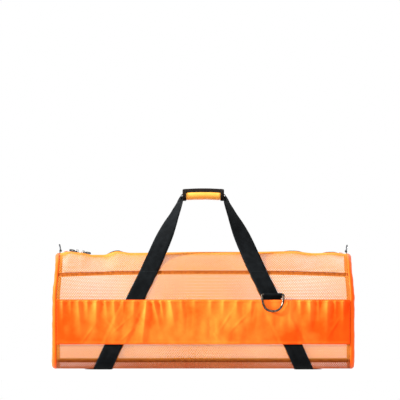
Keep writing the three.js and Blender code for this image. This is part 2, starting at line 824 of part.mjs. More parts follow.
netPanels();
seamTapes();
add('end_binding_left', endBinding(-1), bindingTape());
add('end_binding_right', endBinding(1), bindingTape());
add('end_panel_left', endPanel(-1), shellNylon());
add('end_panel_right', endPanel(1), shellNylon());
add('front_band', band(1, frontFolds), shellNylon());
add('back_band', band(-1, backFolds), shellNylon());
add('handle_web_front', handle(-1, 0), webbing());
add('handle_web_back', handle(1, stackLift), webbing());
const cover = add('handle_wrap', gripCover(), shellNylon());
cover.position.z = gripMiddle;
const edging = add('wrap_binding', gripBinding(), webbing());
edging.position.z = gripMiddle;
frontRing();
endRing(-1, 'left');
endRing(1, 'right');
add('zip_tape_front', zipTape(1), zipFabric());
add('zip_tape_back', zipTape(-1), zipFabric());
add('zip_chain', zipChain(), mouldedPlastic());
add('zip_end_tab_left', zipEndTab(-1), shellNylon());
add('zip_end_tab_right', zipEndTab(1), shellNylon());
slider(-1, 'left');
slider(1, 'right');

// The origin is below the middle of the whole bag's box, on the floor
bag.updateMatrixWorld(true);
const reach = new THREE.Box3().setFromObject(bag, true);
bag.position.set(-(reach.min.x + reach.max.x) / 2, -(reach.min.y + reach.max.y) / 2, -reach.min.z);
bag.updateMatrixWorld(true);

export default bag;
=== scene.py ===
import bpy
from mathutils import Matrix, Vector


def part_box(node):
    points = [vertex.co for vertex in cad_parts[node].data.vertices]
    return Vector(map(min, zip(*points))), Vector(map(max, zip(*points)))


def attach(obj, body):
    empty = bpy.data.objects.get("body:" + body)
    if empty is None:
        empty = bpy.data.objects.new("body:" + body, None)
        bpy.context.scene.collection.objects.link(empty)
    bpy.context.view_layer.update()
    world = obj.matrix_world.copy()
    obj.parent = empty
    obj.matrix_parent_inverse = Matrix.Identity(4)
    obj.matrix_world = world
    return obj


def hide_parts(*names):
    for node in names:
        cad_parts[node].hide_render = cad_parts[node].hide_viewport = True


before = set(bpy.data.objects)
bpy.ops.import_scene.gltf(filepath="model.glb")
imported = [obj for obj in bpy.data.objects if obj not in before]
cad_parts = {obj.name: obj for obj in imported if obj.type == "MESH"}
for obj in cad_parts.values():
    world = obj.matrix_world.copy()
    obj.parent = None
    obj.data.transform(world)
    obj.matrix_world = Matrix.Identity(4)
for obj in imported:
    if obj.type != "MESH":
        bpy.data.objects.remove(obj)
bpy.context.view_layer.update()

import math

import bpy
import numpy as np
from mathutils import Matrix, Vector

# The filled shape of the bag.
# A duffel sewn from flat panels, which the air and gear in it push out to a tall box with round
# edges. Every cloth piece below is laid on this one surface, a small way in or out from it.
SEAM_LENGTH = 0.778
DEPTH = 0.350
HEIGHT = 0.312
BOTTOM_RADIUS = 0.050
TOP_RADIUS = 0.110
SIDE_BULGE = 0.006
END_NARROWING = 0.010
END_LEAN = 0.008
SEAM_DROOP = 0.007
CROWN_RISE = 0.003
LIFT_START = 0.8
DROOP_START = 0.6
WEB_THICK = 0.002
CLEAR = 0.00035
FLOOR_CLEAR = WEB_THICK + CLEAR
HALF = SEAM_LENGTH / 2
SIDE_LOW = FLOOR_CLEAR + BOTTOM_RADIUS
SIDE_HIGH = HEIGHT - TOP_RADIUS
QUARTER = math.pi / 2
MIDDLE_Y = (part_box("front_panel")[0][1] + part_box("back_panel")[1][1]) / 2

# Top line: place along the bag and height, as shares of half the length and of the height
TOP_LINE = [
    (-1.00, 0.993), (-0.94, 1.007), (-0.86, 0.997), (-0.77, 0.978), (-0.70, 0.978), (-0.60, 1.008),
    (-0.50, 0.995), (0.00, 1.003), (0.30, 1.003), (0.62, 1.009), (0.78, 0.992), (0.90, 0.998),
    (1.00, 0.987),
]


def smooth(k):
    c = np.clip(k, 0.0, 1.0)
    return c * c * (3 - 2 * c)


def read_line(table, place):
    """Smooth reading of a table of two columns."""
    at = np.array([row[0] for row in table])
    value = np.array([row[1] for row in table])
    i = np.clip(np.searchsorted(at, place) - 1, 0, len(table) - 2)
    k = smooth((place - at[i]) / (at[i + 1] - at[i]))
    return value[i] + (value[i + 1] - value[i]) * k


def section(turn):
    """Height, distance from the middle and outward direction at a turn: 0 is the floor's middle,
    1 to 2 the bottom corner, 2 to 3 the side, 3 to 4 the top corner and 5 the crown."""
    t = np.abs(turn)
    flat = DEPTH / 2 - TOP_RADIUS
    low = np.clip(t - 1, 0, 1) * QUARTER
    high = np.clip(t - 3, 0, 1) * QUARTER
    floor = DEPTH / 2 - BOTTOM_RADIUS
    y = np.where(t <= 1, floor * t, floor + BOTTOM_RADIUS * np.sin(low))
    z = SIDE_LOW - BOTTOM_RADIUS * np.cos(low)
    y = np.where(t > 2, DEPTH / 2 + SIDE_BULGE * np.sin(np.clip(t - 2, 0, 1) * math.pi), y)
    z = np.where(t > 2, SIDE_LOW + (SIDE_HIGH - SIDE_LOW) * (t - 2), z)
    y = np.where(t > 3, flat + TOP_RADIUS * np.cos(high), y)
    z = np.where(t > 3, SIDE_HIGH + (TOP_RADIUS - CROWN_RISE) * np.sin(high), z)
    y = np.where(t > 4, flat * (5 - t), y)
    z = np.where(t > 4, HEIGHT - CROWN_RISE + CROWN_RISE * np.sin((t - 4) * QUARTER), z)
    out_y = np.where(t <= 2, np.sin(low), np.cos(high))
    out_z = np.where(t <= 2, -np.cos(low), np.sin(high))
    return y, z, out_y, out_z


def skin(x, turn, off):
    """Points on the filled bag; positive turns are its front half, and off is how far out."""
    x, turn, off = np.broadcast_arrays(np.asarray(x, float), np.asarray(turn, float), np.asarray(off, float))
    side = np.where(turn < 0, 1.0, -1.0)
    y, z, out_y, out_z = section(turn)
    u = x / HALF
    share = z / HEIGHT
    lift = (read_line(TOP_LINE, u) - 1) * HEIGHT * smooth((share - LIFT_START) / (1 - LIFT_START))
    upper = smooth((share - DROOP_START) / (1 - DROOP_START))
    droop = SEAM_DROOP * np.abs(u) ** 3 * np.sin(math.pi * upper)
    lean = END_LEAN / HALF * upper
    place_y = side * (y * (1 - END_NARROWING / (DEPTH / 2) * u * u) + out_y * off)
    return np.stack([x * (1 - lean), MIDDLE_Y + place_y, z + out_z * off + lift - droop], axis=-1)


# Distance round the section from the floor's middle, to lay a pattern without stretching it
ROUND_TURNS = np.linspace(0, 5, 2001)
_y, _z = section(ROUND_TURNS)[:2]
ROUND_LENGTH = np.concatenate([[0], np.cumsum(np.hypot(np.diff(_y), np.diff(_z)))])


def turn_of(distance):
    return np.sign(distance) * np.interp(np.abs(distance), ROUND_LENGTH, ROUND_TURNS)


def distance_of(turn):
    return float(np.sign(turn) * np.interp(abs(turn), ROUND_TURNS, ROUND_LENGTH))


def linear(code):
    """A colour from sRGB hex, as linear red, green, blue and 1."""
    parts = [int(code[i:i + 2], 16) / 255 for i in (1, 3, 5)]
    return [c / 12.92 if c <= 0.04045 else ((c + 0.055) / 1.055) ** 2.4 for c in parts] + [1.0]


def add_node(tree, kind, inputs, **settings):
    """A node with its settings; inputs holds values, or sockets to link from."""
    new = tree.nodes.new(kind)
    for key, value in settings.items():
        setattr(new, key, value)
    for key, value in inputs.items():
        if isinstance(value, bpy.types.NodeSocket):
            tree.links.new(value, new.inputs[key])
        else:
            new.inputs[key].default_value = value
    return new


def new_material(name):
    material = bpy.data.materials.new(name)
    material.use_nodes = True
    material.node_tree.nodes.clear()
    return material, material.node_tree


def finish_material(tree, shader):
    add_node(tree, "ShaderNodeOutputMaterial", {"Surface": shader.outputs[0]})


def new_piece(name, points, faces, material, body="bag", slot="nylon", nodes=(), uv=None, soft=True):
    """A mesh in the bag's frame that rides on a body and stands for CAD nodes."""
    mesh = bpy.data.meshes.new(name)
    mesh.from_pydata([tuple(p) for p in points], [], [tuple(f) for f in faces])
    mesh.validate()
    if uv is not None:
        layer = mesh.uv_layers.new(name="UVMap")
        corner = np.empty(len(mesh.loops), dtype=np.int32)
        mesh.loops.foreach_get("vertex_index", corner)
        layer.data.foreach_set("uv", np.asarray(uv, dtype=np.float32)[corner].ravel())
    if soft:
        mesh.shade_smooth()
    mesh.materials.append(material)
    piece = bpy.data.objects.new(name, mesh)
    bpy.context.scene.collection.objects.link(piece)
    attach(piece, body)
    if nodes:
        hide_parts(*nodes)
    return piece


def grid_faces(tall, wide, start=0, flip=False):
    i, j = np.meshgrid(np.arange(tall - 1), np.arange(wide - 1), indexing="ij")
    a = (start + i * wide + j).ravel()
    quads = np.stack([a, a + 1, a + wide + 1, a + wide], axis=1)
    return quads[:, ::-1] if flip else quads


def wall(outer, inner):
    """A thin closed wall between two grids of points."""
    tall, wide = outer.shape[:2]
    count = tall * wide
    faces = [grid_faces(tall, wide), grid_faces(tall, wide, count, True)]
    top, left = np.arange(wide), np.arange(tall) * wide
    foot, right = top + (tall - 1) * wide, left + wide - 1
    for edge, turned in ((top, True), (foot, False), (left, False), (right, True)):
        rim = np.stack([edge[:-1], edge[1:], edge[1:] + count, edge[:-1] + count], axis=1)
        faces.append(rim[:, ::-1] if turned else rim)
    return np.concatenate([outer.reshape(-1, 3), inner.reshape(-1, 3)]), np.concatenate(faces)


def cloth(name, outer, inner, material, uv=None, **where):
    points, faces = wall(outer, inner)
    if uv is not None:
        uv = np.concatenate([uv.reshape(-1, 2)] * 2)
    return new_piece(name, points, faces, material, uv=uv, **where)


# Net panels.
# Knitted polyester net with six-sided openings, cut into five long panels: a floor, two sides
# and two top panels that meet at the zip. Its strands are orange and let light through. The real
# cells look about 2 mm wide and are drawn coarser, with the same share of opening.
NET_PITCH = 0.0047
FLOOR_NET_PITCH = 0.0058
NET_OPEN = 0.70
FLOOR_NET_OPEN = 0.40
STRAND_CROWN = 0.0005
NET_IN = 0.0007
SLIVER = 0.02
LOWER_SEAM_HIGH = 0.023
UPPER_SEAM_HIGH = 0.259
LOWER_SEAM = 1 + math.acos((SIDE_LOW - LOWER_SEAM_HIGH) / BOTTOM_RADIUS) / QUARTER
UPPER_SEAM = 3 + math.asin((UPPER_SEAM_HIGH - SIDE_HIGH) / (TOP_RADIUS - CROWN_RISE)) / QUARTER
SEAM_SHOW = 0.0045
LOW_TURN = SEAM_SHOW / (BOTTOM_RADIUS * QUARTER)
HIGH_TURN = SEAM_SHOW / (TOP_RADIUS * QUARTER)
SLIT_HALF = 0.010
ZIP_EDGE = 5 - SLIT_HALF / (DEPTH / 2 - TOP_RADIUS)


def net_material(name, dark, pale):
    # Dyed polyester yarn: matt, a little see-through, so the far wall and the light glow in it
    material, tree = new_material(name)
    place = add_node(tree, "ShaderNodeTexCoord", {})
    cloud = add_node(tree, "ShaderNodeTexNoise", {
        "Vector": place.outputs["Object"], "Scale": 9.0, "Detail": 3.0,
    })
    tint = add_node(tree, "ShaderNodeValToRGB", {"Fac": cloud.outputs[0]})
    tint.color_ramp.elements[0].position = 0.35
    tint.color_ramp.elements[0].color = linear(dark)
    tint.color_ramp.elements[1].position = 0.68
    tint.color_ramp.elements[1].color = linear(pale)
    yarn = add_node(tree, "ShaderNodeBsdfPrincipled", {
        "Base Color": tint.outputs[0], "Roughness": 0.6, "Specular IOR Level": 0.15,
    })
    glow = add_node(tree, "ShaderNodeBsdfTranslucent", {"Color": tint.outputs[0]})
    mixed = add_node(tree, "ShaderNodeMixShader", {0: 0.35, 1: yarn.outputs[0], 2: glow.outputs[0]})
    finish_material(tree, mixed)
    return material


def net_panel(name, start, end, pitch, opening, material):
    """Cells of the net over one panel: each has a hexagonal opening in a hexagon of strands."""
    low, high = distance_of(start), distance_of(end)
    row_step = pitch * math.sqrt(3) / 2
    across = np.arange(-HALF, HALF + pitch, pitch)
    down = np.arange(low, high + row_step, row_step)
    gx, gy = np.meshgrid(across, down)
    gx = gx + np.where(np.arange(len(down))[:, None] % 2 == 1, pitch / 2, 0.0)
    centre = np.stack([gx.ravel(), gy.ravel()], axis=1)
    angle = np.radians(np.arange(6) * 60 + 30)
    rim = np.stack([np.cos(angle), np.sin(angle)], axis=1) * pitch / math.sqrt(3)
    outer = centre[:, None, :] + rim[None]
    inner = centre[:, None, :] + rim[None] * opening
    flat = np.concatenate([outer.reshape(-1, 2), inner.reshape(-1, 2)])
    height = np.concatenate([np.full(len(centre) * 6, STRAND_CROWN), np.zeros(len(centre) * 6)])
    clipped = np.stack([np.clip(flat[:, 0], -HALF, HALF), np.clip(flat[:, 1], low, high)], axis=1)
    cell = np.arange(len(centre))[:, None] * 6
    side, after = np.arange(6), (np.arange(6) + 1) % 6
    shift = len(centre) * 6
    quads = np.stack([cell + side, cell + after, cell + after + shift, cell + side + shift], axis=-1)
    quads = quads.reshape(-1, 4)
    key = np.round(np.column_stack([clipped, height]) / 1e-6).astype(np.int64)
    _, first, same = np.unique(key, axis=0, return_index=True, return_inverse=True)
    quads = same.ravel()[quads]
    spot = clipped[first]
    a, b, c, d = (spot[quads[:, i]] for i in range(4))
    area = np.abs((c[:, 0] - a[:, 0]) * (d[:, 1] - b[:, 1]) - (c[:, 1] - a[:, 1]) * (d[:, 0] - b[:, 0]))
    quads = quads[area > SLIVER * pitch * pitch]
    used, quads = np.unique(quads, return_inverse=True)
    spot = spot[used]
    points = skin(spot[:, 0], turn_of(spot[:, 1]), height[first][used] - NET_IN)
    piece = new_piece(name, points, quads.reshape(-1, 4), material, slot="net",
                      nodes=[name.replace("net", "panel")], soft=False)


net = net_material("polyester_net", "#e8943a", "#f2a548")
# The floor net's darker, browner strands are partly its own tone and partly painted shade of the bag's
# underside
shaded_floor_net = net_material("shaded_floor_net", "#c0683c", "#d07e4e")
floor_edge = LOWER_SEAM - LOW_TURN
net_panel("bottom_net", -floor_edge, floor_edge, FLOOR_NET_PITCH, FLOOR_NET_OPEN, shaded_floor_net)
net_panel("front_net", LOWER_SEAM + LOW_TURN, UPPER_SEAM - HIGH_TURN, NET_PITCH, NET_OPEN, net)
net_panel("back_net", HIGH_TURN - UPPER_SEAM, -LOWER_SEAM - LOW_TURN, NET_PITCH, NET_OPEN, net)
net_panel("top_net_front", UPPER_SEAM + HIGH_TURN, ZIP_EDGE, NET_PITCH, NET_OPEN, net)
net_panel("top_net_back", -ZIP_EDGE, -UPPER_SEAM - HIGH_TURN, NET_PITCH, NET_OPEN, net)

# Seam tapes.
# Folded nylon tape that binds the raw edges inside the bag: four long seams and both end seams.
# The net lets it show as a dark orange-brown line with the net's pattern over it.
TAPE_WIDTH = 0.012
END_TAPE_WIDTH = 0.0055
END_TAPE_START = 0.0006
TAPE_WALL = 0.0008
TAPE_IN = 0.0024
RIB_RUN = 0.0022
RIB_RISE = 0.0003
NET_SHADOW_CELL = 0.006


def tape_material(name, pale, dark):
    # Woven nylon tape, matt, with the shadow of the net's strands painted on it as a pattern of darker cells
    material, tree = new_material(name)
    place = add_node(tree, "ShaderNodeTexCoord", {})
    # Painted shadow of the net: paler in the middle of each cell, darker towards its edges
    net_shadow = add_node(tree, "ShaderNodeTexVoronoi", {"Vector": place.outputs["Object"], "Scale": 1 / NET_SHADOW_CELL})
    tint = add_node(tree, "ShaderNodeValToRGB", {"Fac": net_shadow.outputs["Distance"]})
    tint.color_ramp.elements[0].color = linear(pale)
    tint.color_ramp.elements[1].color = linear(dark)
    cloth_shader = add_node(tree, "ShaderNodeBsdfPrincipled", {
        "Base Color": tint.outputs[0], "Roughness": 0.85, "Specular IOR Level": 0.05,
    })
    finish_material(tree, cloth_shader)
    return material


def long_tape(name, turn, node):
    middle = distance_of(turn)
    across = np.linspace(middle - TAPE_WIDTH / 2, middle + TAPE_WIDTH / 2, 5)
    along = np.linspace(-HALF + END_TAPE_WIDTH, HALF - END_TAPE_WIDTH, 260)
    x, s = np.meshgrid(along, across)
    wave = RIB_RISE * np.sin(x / RIB_RUN)
    outer = skin(x, turn_of(s), -TAPE_IN + wave)
    inner = skin(x, turn_of(s), -TAPE_IN - TAPE_WALL + wave)
    return cloth(name, outer, inner, tape, slot="seam_tape", nodes=[node])


def end_tape(name, side, node):
    across = np.linspace(END_TAPE_START, END_TAPE_START + END_TAPE_WIDTH, 4)
    turns = np.concatenate([np.linspace(0.001, 5, 160), np.linspace(-5, -0.001, 160)])
    t, a = np.meshgrid(turns, across)
    x = side * (HALF - a)
    outer, inner = skin(x, t, -TAPE_IN), skin(x, t, -TAPE_IN - TAPE_WALL)
    return cloth(name, outer, inner, end_binding, slot="seam_tape", nodes=[node])


tape = tape_material("nylon_seam_tape", "#a4561f", "#7a3a12")
end_binding = tape_material("nylon_end_binding", "#c4632a", "#9c4a18")
for half, sign in (("front", 1), ("back", -1)):
    long_tape(f"tape_upper_{half}", sign * UPPER_SEAM, f"seam_tape_upper_{half}")
    long_tape(f"tape_lower_{half}", sign * LOWER_SEAM, f"seam_tape_lower_{half}")
end_tape("tape_end_left", -1, "end_binding_left")
end_tape("tape_end_right", 1, "end_binding_right")

# Handle webbing.
# Two lengths of 50 mm polypropylene webbing, woven in a herringbone with a tight selvedge. Each
# runs under the floor, up the side below the band and over to the grip, where it turns on edge.
WEB_WIDTH = 0.050
GRIP_WEB_WIDTH = 0.0455
LEG_FOOT_X = 0.290
LEG_FLOOR_X = 0.267
LEG_LEAVE_X = 0.144
LEAVE_TURN = 3.4
GRIP_LENGTH = 0.111
GRIP_HEIGHT = 0.0335
GRIP_TOP = 0.482
GRIP_MIDDLE = GRIP_TOP - GRIP_HEIGHT / 2
GRIP_BEND = 0.0032
LEG_SPREAD = 0.0020
HUB_IN = 0.0037
WEB_STACK = WEB_THICK + CLEAR
HERRING_PITCH = 0.0026
HERRING_RUN = 0.010
SELVEDGE_THIN = 0.35
TWIST_BLEND = 0.04

# Free part of a leg, front and back: share of its climb and turn of its width in degrees. They
# stay side by side near the grip, so neither crosses the other.
LEG_TWIST = {
    -1: [(0.0, 0), (0.12, 0), (0.28, 6), (0.44, 20), (0.58, 38), (0.70, 52), (0.78, 59), (0.85, 65),
         (0.93, 72), (1.0, 86)],
    1: [(0.0, 0), (0.12, 0), (0.28, 6), (0.44, 20), (0.58, 38), (0.70, 56), (0.78, 70), (0.85, 88),
        (0.93, 105), (1.0, 92)],
}


def webbing_material(name, dark, pale):
    # Black spun polypropylene: dull, with a soft grey sheen on the ribs of its herringbone
    material, tree = new_material(name)
    uv = add_node(tree, "ShaderNodeUVMap", {}, uv_map="UVMap")
    split = add_node(tree, "ShaderNodeSeparateXYZ", {0: uv.outputs[0]})
    fold = add_node(tree, "ShaderNodeMath", {0: split.outputs[0], 1: HERRING_RUN}, operation="PINGPONG")
    slant = add_node(tree, "ShaderNodeMath", {0: split.outputs[1], 1: fold.outputs[0]}, operation="ADD")
    turn = add_node(tree, "ShaderNodeMath", {0: slant.outputs[0], 1: 2 * math.pi / HERRING_PITCH},
                    operation="MULTIPLY")
    rib = add_node(tree, "ShaderNodeMath", {0: turn.outputs[0]}, operation="SINE")
    place = add_node(tree, "ShaderNodeTexCoord", {})
    fuzz = add_node(tree, "ShaderNodeTexNoise", {
        "Vector": place.outputs["Object"], "Scale": 60.0, "Detail": 4.0,
    })
    both = add_node(tree, "ShaderNodeMath", {0: rib.outputs[0], 1: 0.22, 2: fuzz.outputs[0]},
                    operation="MULTIPLY_ADD")
    tint = add_node(tree, "ShaderNodeValToRGB", {"Fac": both.outputs[0]})
    tint.color_ramp.elements[0].position = 0.25
    tint.color_ramp.elements[0].color = linear(dark)
    tint.color_ramp.elements[1].position = 0.8
    tint.color_ramp.elements[1].color = linear(pale)
    relief = add_node(tree, "ShaderNodeBump", {"Height": rib.outputs[0], "Strength": 0.5, "Distance": 0.0003})
    yarn = add_node(tree, "ShaderNodeBsdfPrincipled", {
        "Base Color": tint.outputs[0], "Roughness": 0.7, "IOR": 1.49, "Specular IOR Level": 0.05,
        "Normal": relief.outputs[0],
    })
    finish_material(tree, yarn)
    return material


def leg_x(turn):
    """Middle of a leg along the bag, from the floor up to where it leaves the cloth."""
    low, high = section(np.array([1.0, LEAVE_TURN]))[1]
    climbed = LEG_FLOOR_X + (LEG_LEAVE_X - LEG_FLOOR_X) * (section(turn)[1] - low) / (high - low)
    return np.where(np.abs(turn) <= 1, LEG_FOOT_X + (LEG_FLOOR_X - LEG_FOOT_X) * np.abs(turn), climbed)


def leg_rows(side, face, lift):
    """Inner and outer rows of one leg, each across its width, from the floor to the grip."""
    wide = np.linspace(-0.5, 0.5, 9)
    edge = 1 - SELVEDGE_THIN * np.abs(2 * wide) ** 10
    rows = []
    for t in np.concatenate([[0.0015], np.linspace(0.05, 1, 8)[:-1], np.linspace(1, LEAVE_TURN, 64)]):
        x = side * (leg_x(np.array(t)) + wide * WEB_WIDTH)
        middle = CLEAR + WEB_THICK / 2
        thick = WEB_THICK / 2 * edge
        rows.append((skin(x, -face * t, middle - thick), skin(x, -face * t, middle + thick)))
    start = skin(side * leg_x(np.array(LEAVE_TURN)), -face * LEAVE_TURN, CLEAR + WEB_THICK / 2)
    bend = GRIP_BEND + lift
    hub_x = GRIP_LENGTH / 2 - HUB_IN + (LEG_SPREAD if lift else 0)
    hub = np.array([side * hub_x, MIDDLE_Y, GRIP_MIDDLE - GRIP_BEND - WEB_THICK])
    end = hub + np.array([side * bend, 0, 0])
    climb = (end - start) / np.linalg.norm(end - start)
    for share in np.linspace(0, 1, 34)[1:]:
        near = [np.clip(share + d, 0, 1) for d in (-TWIST_BLEND, 0, TWIST_BLEND)]
        angle = math.radians(np.mean([read_line(LEG_TWIST[face], place) for place in near]))
        across = np.array([side * math.cos(angle), -face * math.sin(angle), 0])
        out = np.cross(across, climb) * (-side * face)
        out /= np.linalg.norm(out)
        width = WEB_WIDTH + (GRIP_WEB_WIDTH - WEB_WIDTH) * share
        line = start + (end - start) * share + np.outer(wide * width, across)
        thick = np.outer(edge * WEB_THICK / 2, out)
        rows.append((line - thick, line + thick))
    for a in np.radians(np.linspace(10, 90, 9)):
        out = np.array([side * math.cos(a), 0, math.sin(a)])
        line = hub + out * bend + np.outer(wide * GRIP_WEB_WIDTH, np.array([0, -face, 0]))
        thick = np.outer(edge * WEB_THICK / 2, out)
        rows.append((line - thick, line + thick))
    return rows


def handle(name, face, lift, node):
    rows = leg_rows(-1, face, lift) + leg_rows(1, face, lift)[::-1]
    inner = np.array([row[0] for row in rows])
    outer = np.array([row[1] for row in rows])
    length = np.concatenate([[0], np.cumsum(np.linalg.norm(np.diff(outer[:, 4], axis=0), axis=1))])
    u, v = np.meshgrid(np.linspace(0, WEB_WIDTH, 9), length)
    return cloth(name, outer, inner, webbing, uv=np.stack([u, v], axis=-1), slot="webbing", nodes=[node])


webbing = webbing_material("polypropylene_webbing", "#030405", "#111416")
handle("webbing_front", -1, 0.0, "handle_web_front")
handle("webbing_back", 1, WEB_STACK, "handle_web_back")

# Bands.
# A wide strip of coated nylon sewn over each side net and over the legs. Its hems are turned and
# sewn flat, and the top one is gathered, so folds start there and fade downwards.
BAND_FOOT = 0.067
BAND_TALL = 0.118
BAND_LOW = 2 + (BAND_FOOT - SIDE_LOW) / (SIDE_HIGH - SIDE_LOW)
BAND_HIGH = 2 + (BAND_FOOT + BAND_TALL - SIDE_LOW) / (SIDE_HIGH - SIDE_LOW)
BAND_OFF = 0.0012
BAND_WALL = 0.0007
FOLD_HEIGHT = 0.0064
FOLD_SHARP = 0.95
HEM = 0.007
HEM_STITCH = 0.0055
HEM_RISE = 0.0006
CREASE_RISE = 0.0009
OVER_LEG = 0.0019
OVER_LEG_SPAN = 0.012
THREAD_DRAWN = 0.001
RANDOM_PHASE = 6.28

# Folds: place, half width and height as shares, drift to the right over the band's height, and
# how far down it reaches as a share of the height
FRONT_FOLDS = [
    (-0.960, 0.016, 0.9, 0.00, 0.55), (-0.905, 0.013, 0.5, 0.01, 0.40), (-0.852, 0.020, 1.0, 0.02, 0.60),
    (-0.790, 0.012, 0.5, 0.00, 0.35), (-0.727, 0.020, 1.0, -0.01, 0.60), (-0.665, 0.014, 0.6, 0.02, 0.40),
    (-0.608, 0.018, 1.0, 0.01, 0.60), (-0.545, 0.012, 0.4, 0.00, 0.35), (-0.470, 0.018, 0.7, -0.02, 0.50),
    (-0.385, 0.016, 1.1, -0.03, 1.30), (-0.340, 0.014, 1.0, 0.07, 0.55), (-0.290, 0.012, 0.7, 0.05, 0.45),
    (-0.225, 0.016, 0.9, 0.05, 0.50), (-0.150, 0.014, 0.5, 0.03, 0.35), (-0.060, 0.018, 0.4, 0.00, 0.30),
    (0.050, 0.016, 0.5, 0.01, 0.35), (0.140, 0.018, 0.5, -0.02, 0.40), (0.230, 0.014, 0.4, -0.02, 0.30),
    (0.330, 0.016, 0.5, -0.02, 0.40), (0.593, 0.018, 0.9, 0.00, 0.55), (0.660, 0.013, 0.5, 0.01, 0.35),
    (0.727, 0.020, 1.0, 0.01, 0.60), (0.785, 0.012, 0.5, 0.00, 0.40), (0.848, 0.020, 1.0, -0.01, 0.60),
    (0.900, 0.012, 0.5, 0.00, 0.40), (0.953, 0.016, 0.9, 0.00, 0.55),
]
BACK_FOLDS = [
    (-0.950, 0.016, 0.8, 0.00, 0.55), (-0.880, 0.018, 0.7, 0.02, 0.45), (-0.790, 0.020, 1.0, 0.00, 0.60),
    (-0.700, 0.016, 0.6, -0.02, 0.40), (-0.610, 0.018, 0.9, 0.01, 0.60), (-0.480, 0.018, 0.6, 0.02, 0.50),
    (-0.330, 0.016, 0.9, 0.03, 0.60), (-0.210, 0.016, 0.6, -0.02, 0.40), (-0.080, 0.018, 0.5, 0.00, 0.35),
    (0.070, 0.016, 0.6, 0.01, 0.40), (0.200, 0.018, 0.5, -0.02, 0.40), (0.350, 0.018, 0.9, 0.04, 0.70),
    (0.600, 0.018, 0.8, 0.00, 0.55), (0.700, 0.016, 0.6, 0.01, 0.40), (0.780, 0.020, 1.0, 0.00, 0.60),
    (0.860, 0.016, 0.7, -0.01, 0.45), (0.940, 0.016, 0.9, 0.00, 0.55),
]


def nylon_material(name, dark, base, pale):
    # Coated plain-weave nylon: strong orange, made yellower by painted light in the middle of the bag
    # and by a painted highlight on the crest of each gather (the UV map's second value)
    material, tree = new_material(name)
    place = add_node(tree, "ShaderNodeTexCoord", {})
    cloud = add_node(tree, "ShaderNodeTexNoise", {
        "Vector": place.outputs["Object"], "Scale": 14.0, "Detail": 4.0,
    })
    # Painted light: paler over the middle of the bag, fading out between 0.10 and 0.38 m along it
    along = add_node(tree, "ShaderNodeSeparateXYZ", {0: place.outputs["Object"]})
    far = add_node(tree, "ShaderNodeMath", {0: along.outputs[0]}, operation="ABSOLUTE")
    painted_middle_light = add_node(tree, "ShaderNodeMapRange", {
        "Value": far.outputs[0], "From Min": 0.10, "From Max": 0.38, "To Min": 0.26, "To Max": 0.0,
    })
    # Painted highlight: the crests of the gathers, carried in the UV map's second value, are coloured paler
    uv = add_node(tree, "ShaderNodeUVMap", {}, uv_map="UVMap")
    crest_highlight = add_node(tree, "ShaderNodeSeparateXYZ", {0: uv.outputs[0]})
    painted_light_share = add_node(tree, "ShaderNodeMath", {0: crest_highlight.outputs[1], 1: 0.30, 2: painted_middle_light.outputs[0]},
                      operation="MULTIPLY_ADD")
    share = add_node(tree, "ShaderNodeMath", {0: cloud.outputs[0], 1: painted_light_share.outputs[0]}, operation="ADD")
    tint = add_node(tree, "ShaderNodeValToRGB", {"Fac": share.outputs[0]})
    tint.color_ramp.elements[0].position = 0.3
    tint.color_ramp.elements[0].color = linear(dark)
    tint.color_ramp.elements[1].position = 0.92
    tint.color_ramp.elements[1].color = linear(pale)
    middle = tint.color_ramp.elements.new(0.5)
    middle.color = linear(base)
    # Threads are 0.25 mm apart; drawn at 1 mm so that the weave shows close up
    scale = 2 * math.pi / (20 * THREAD_DRAWN)
    warp = add_node(tree, "ShaderNodeTexWave", {"Vector": place.outputs["Object"], "Scale": scale},
                    bands_direction="X")
    weft = add_node(tree, "ShaderNodeTexWave", {"Vector": place.outputs["Object"], "Scale": scale},
                    bands_direction="Z")
    weave = add_node(tree, "ShaderNodeMath", {0: warp.outputs[1], 1: weft.outputs[1]}, operation="ADD")
    relief = add_node(tree, "ShaderNodeBump", {
        "Height": weave.outputs[0], "Strength": 0.25, "Distance": 0.0001,
    })
    coat = add_node(tree, "ShaderNodeBsdfPrincipled", {
        "Base Color": tint.outputs[0], "Roughness": 0.42, "IOR": 1.5, "Specular IOR Level": 0.35,
        "Specular Tint": linear("#ff9a3c"), "Normal": relief.outputs[0],
    })
    finish_material(tree, coat)
    return material


def fold_rise(folds, x, share):
    """Height of the gathers at places along the bag and up the band."""
    u = x / HALF
    down = 1 - share
    rise = np.zeros_like(u)
    for along, wide, high, drift, reach in folds:
        fade = np.exp(-((down / reach) ** 2) * 1.6) * smooth(down / 0.05 + 0.45)
        spread = FOLD_SHARP * wide * (1 + 1.1 * down)
        away = (u - along - drift * down) / spread
        rise = rise + high * fade * np.exp(-np.abs(away) ** 1.5)
    return FOLD_HEIGHT * rise


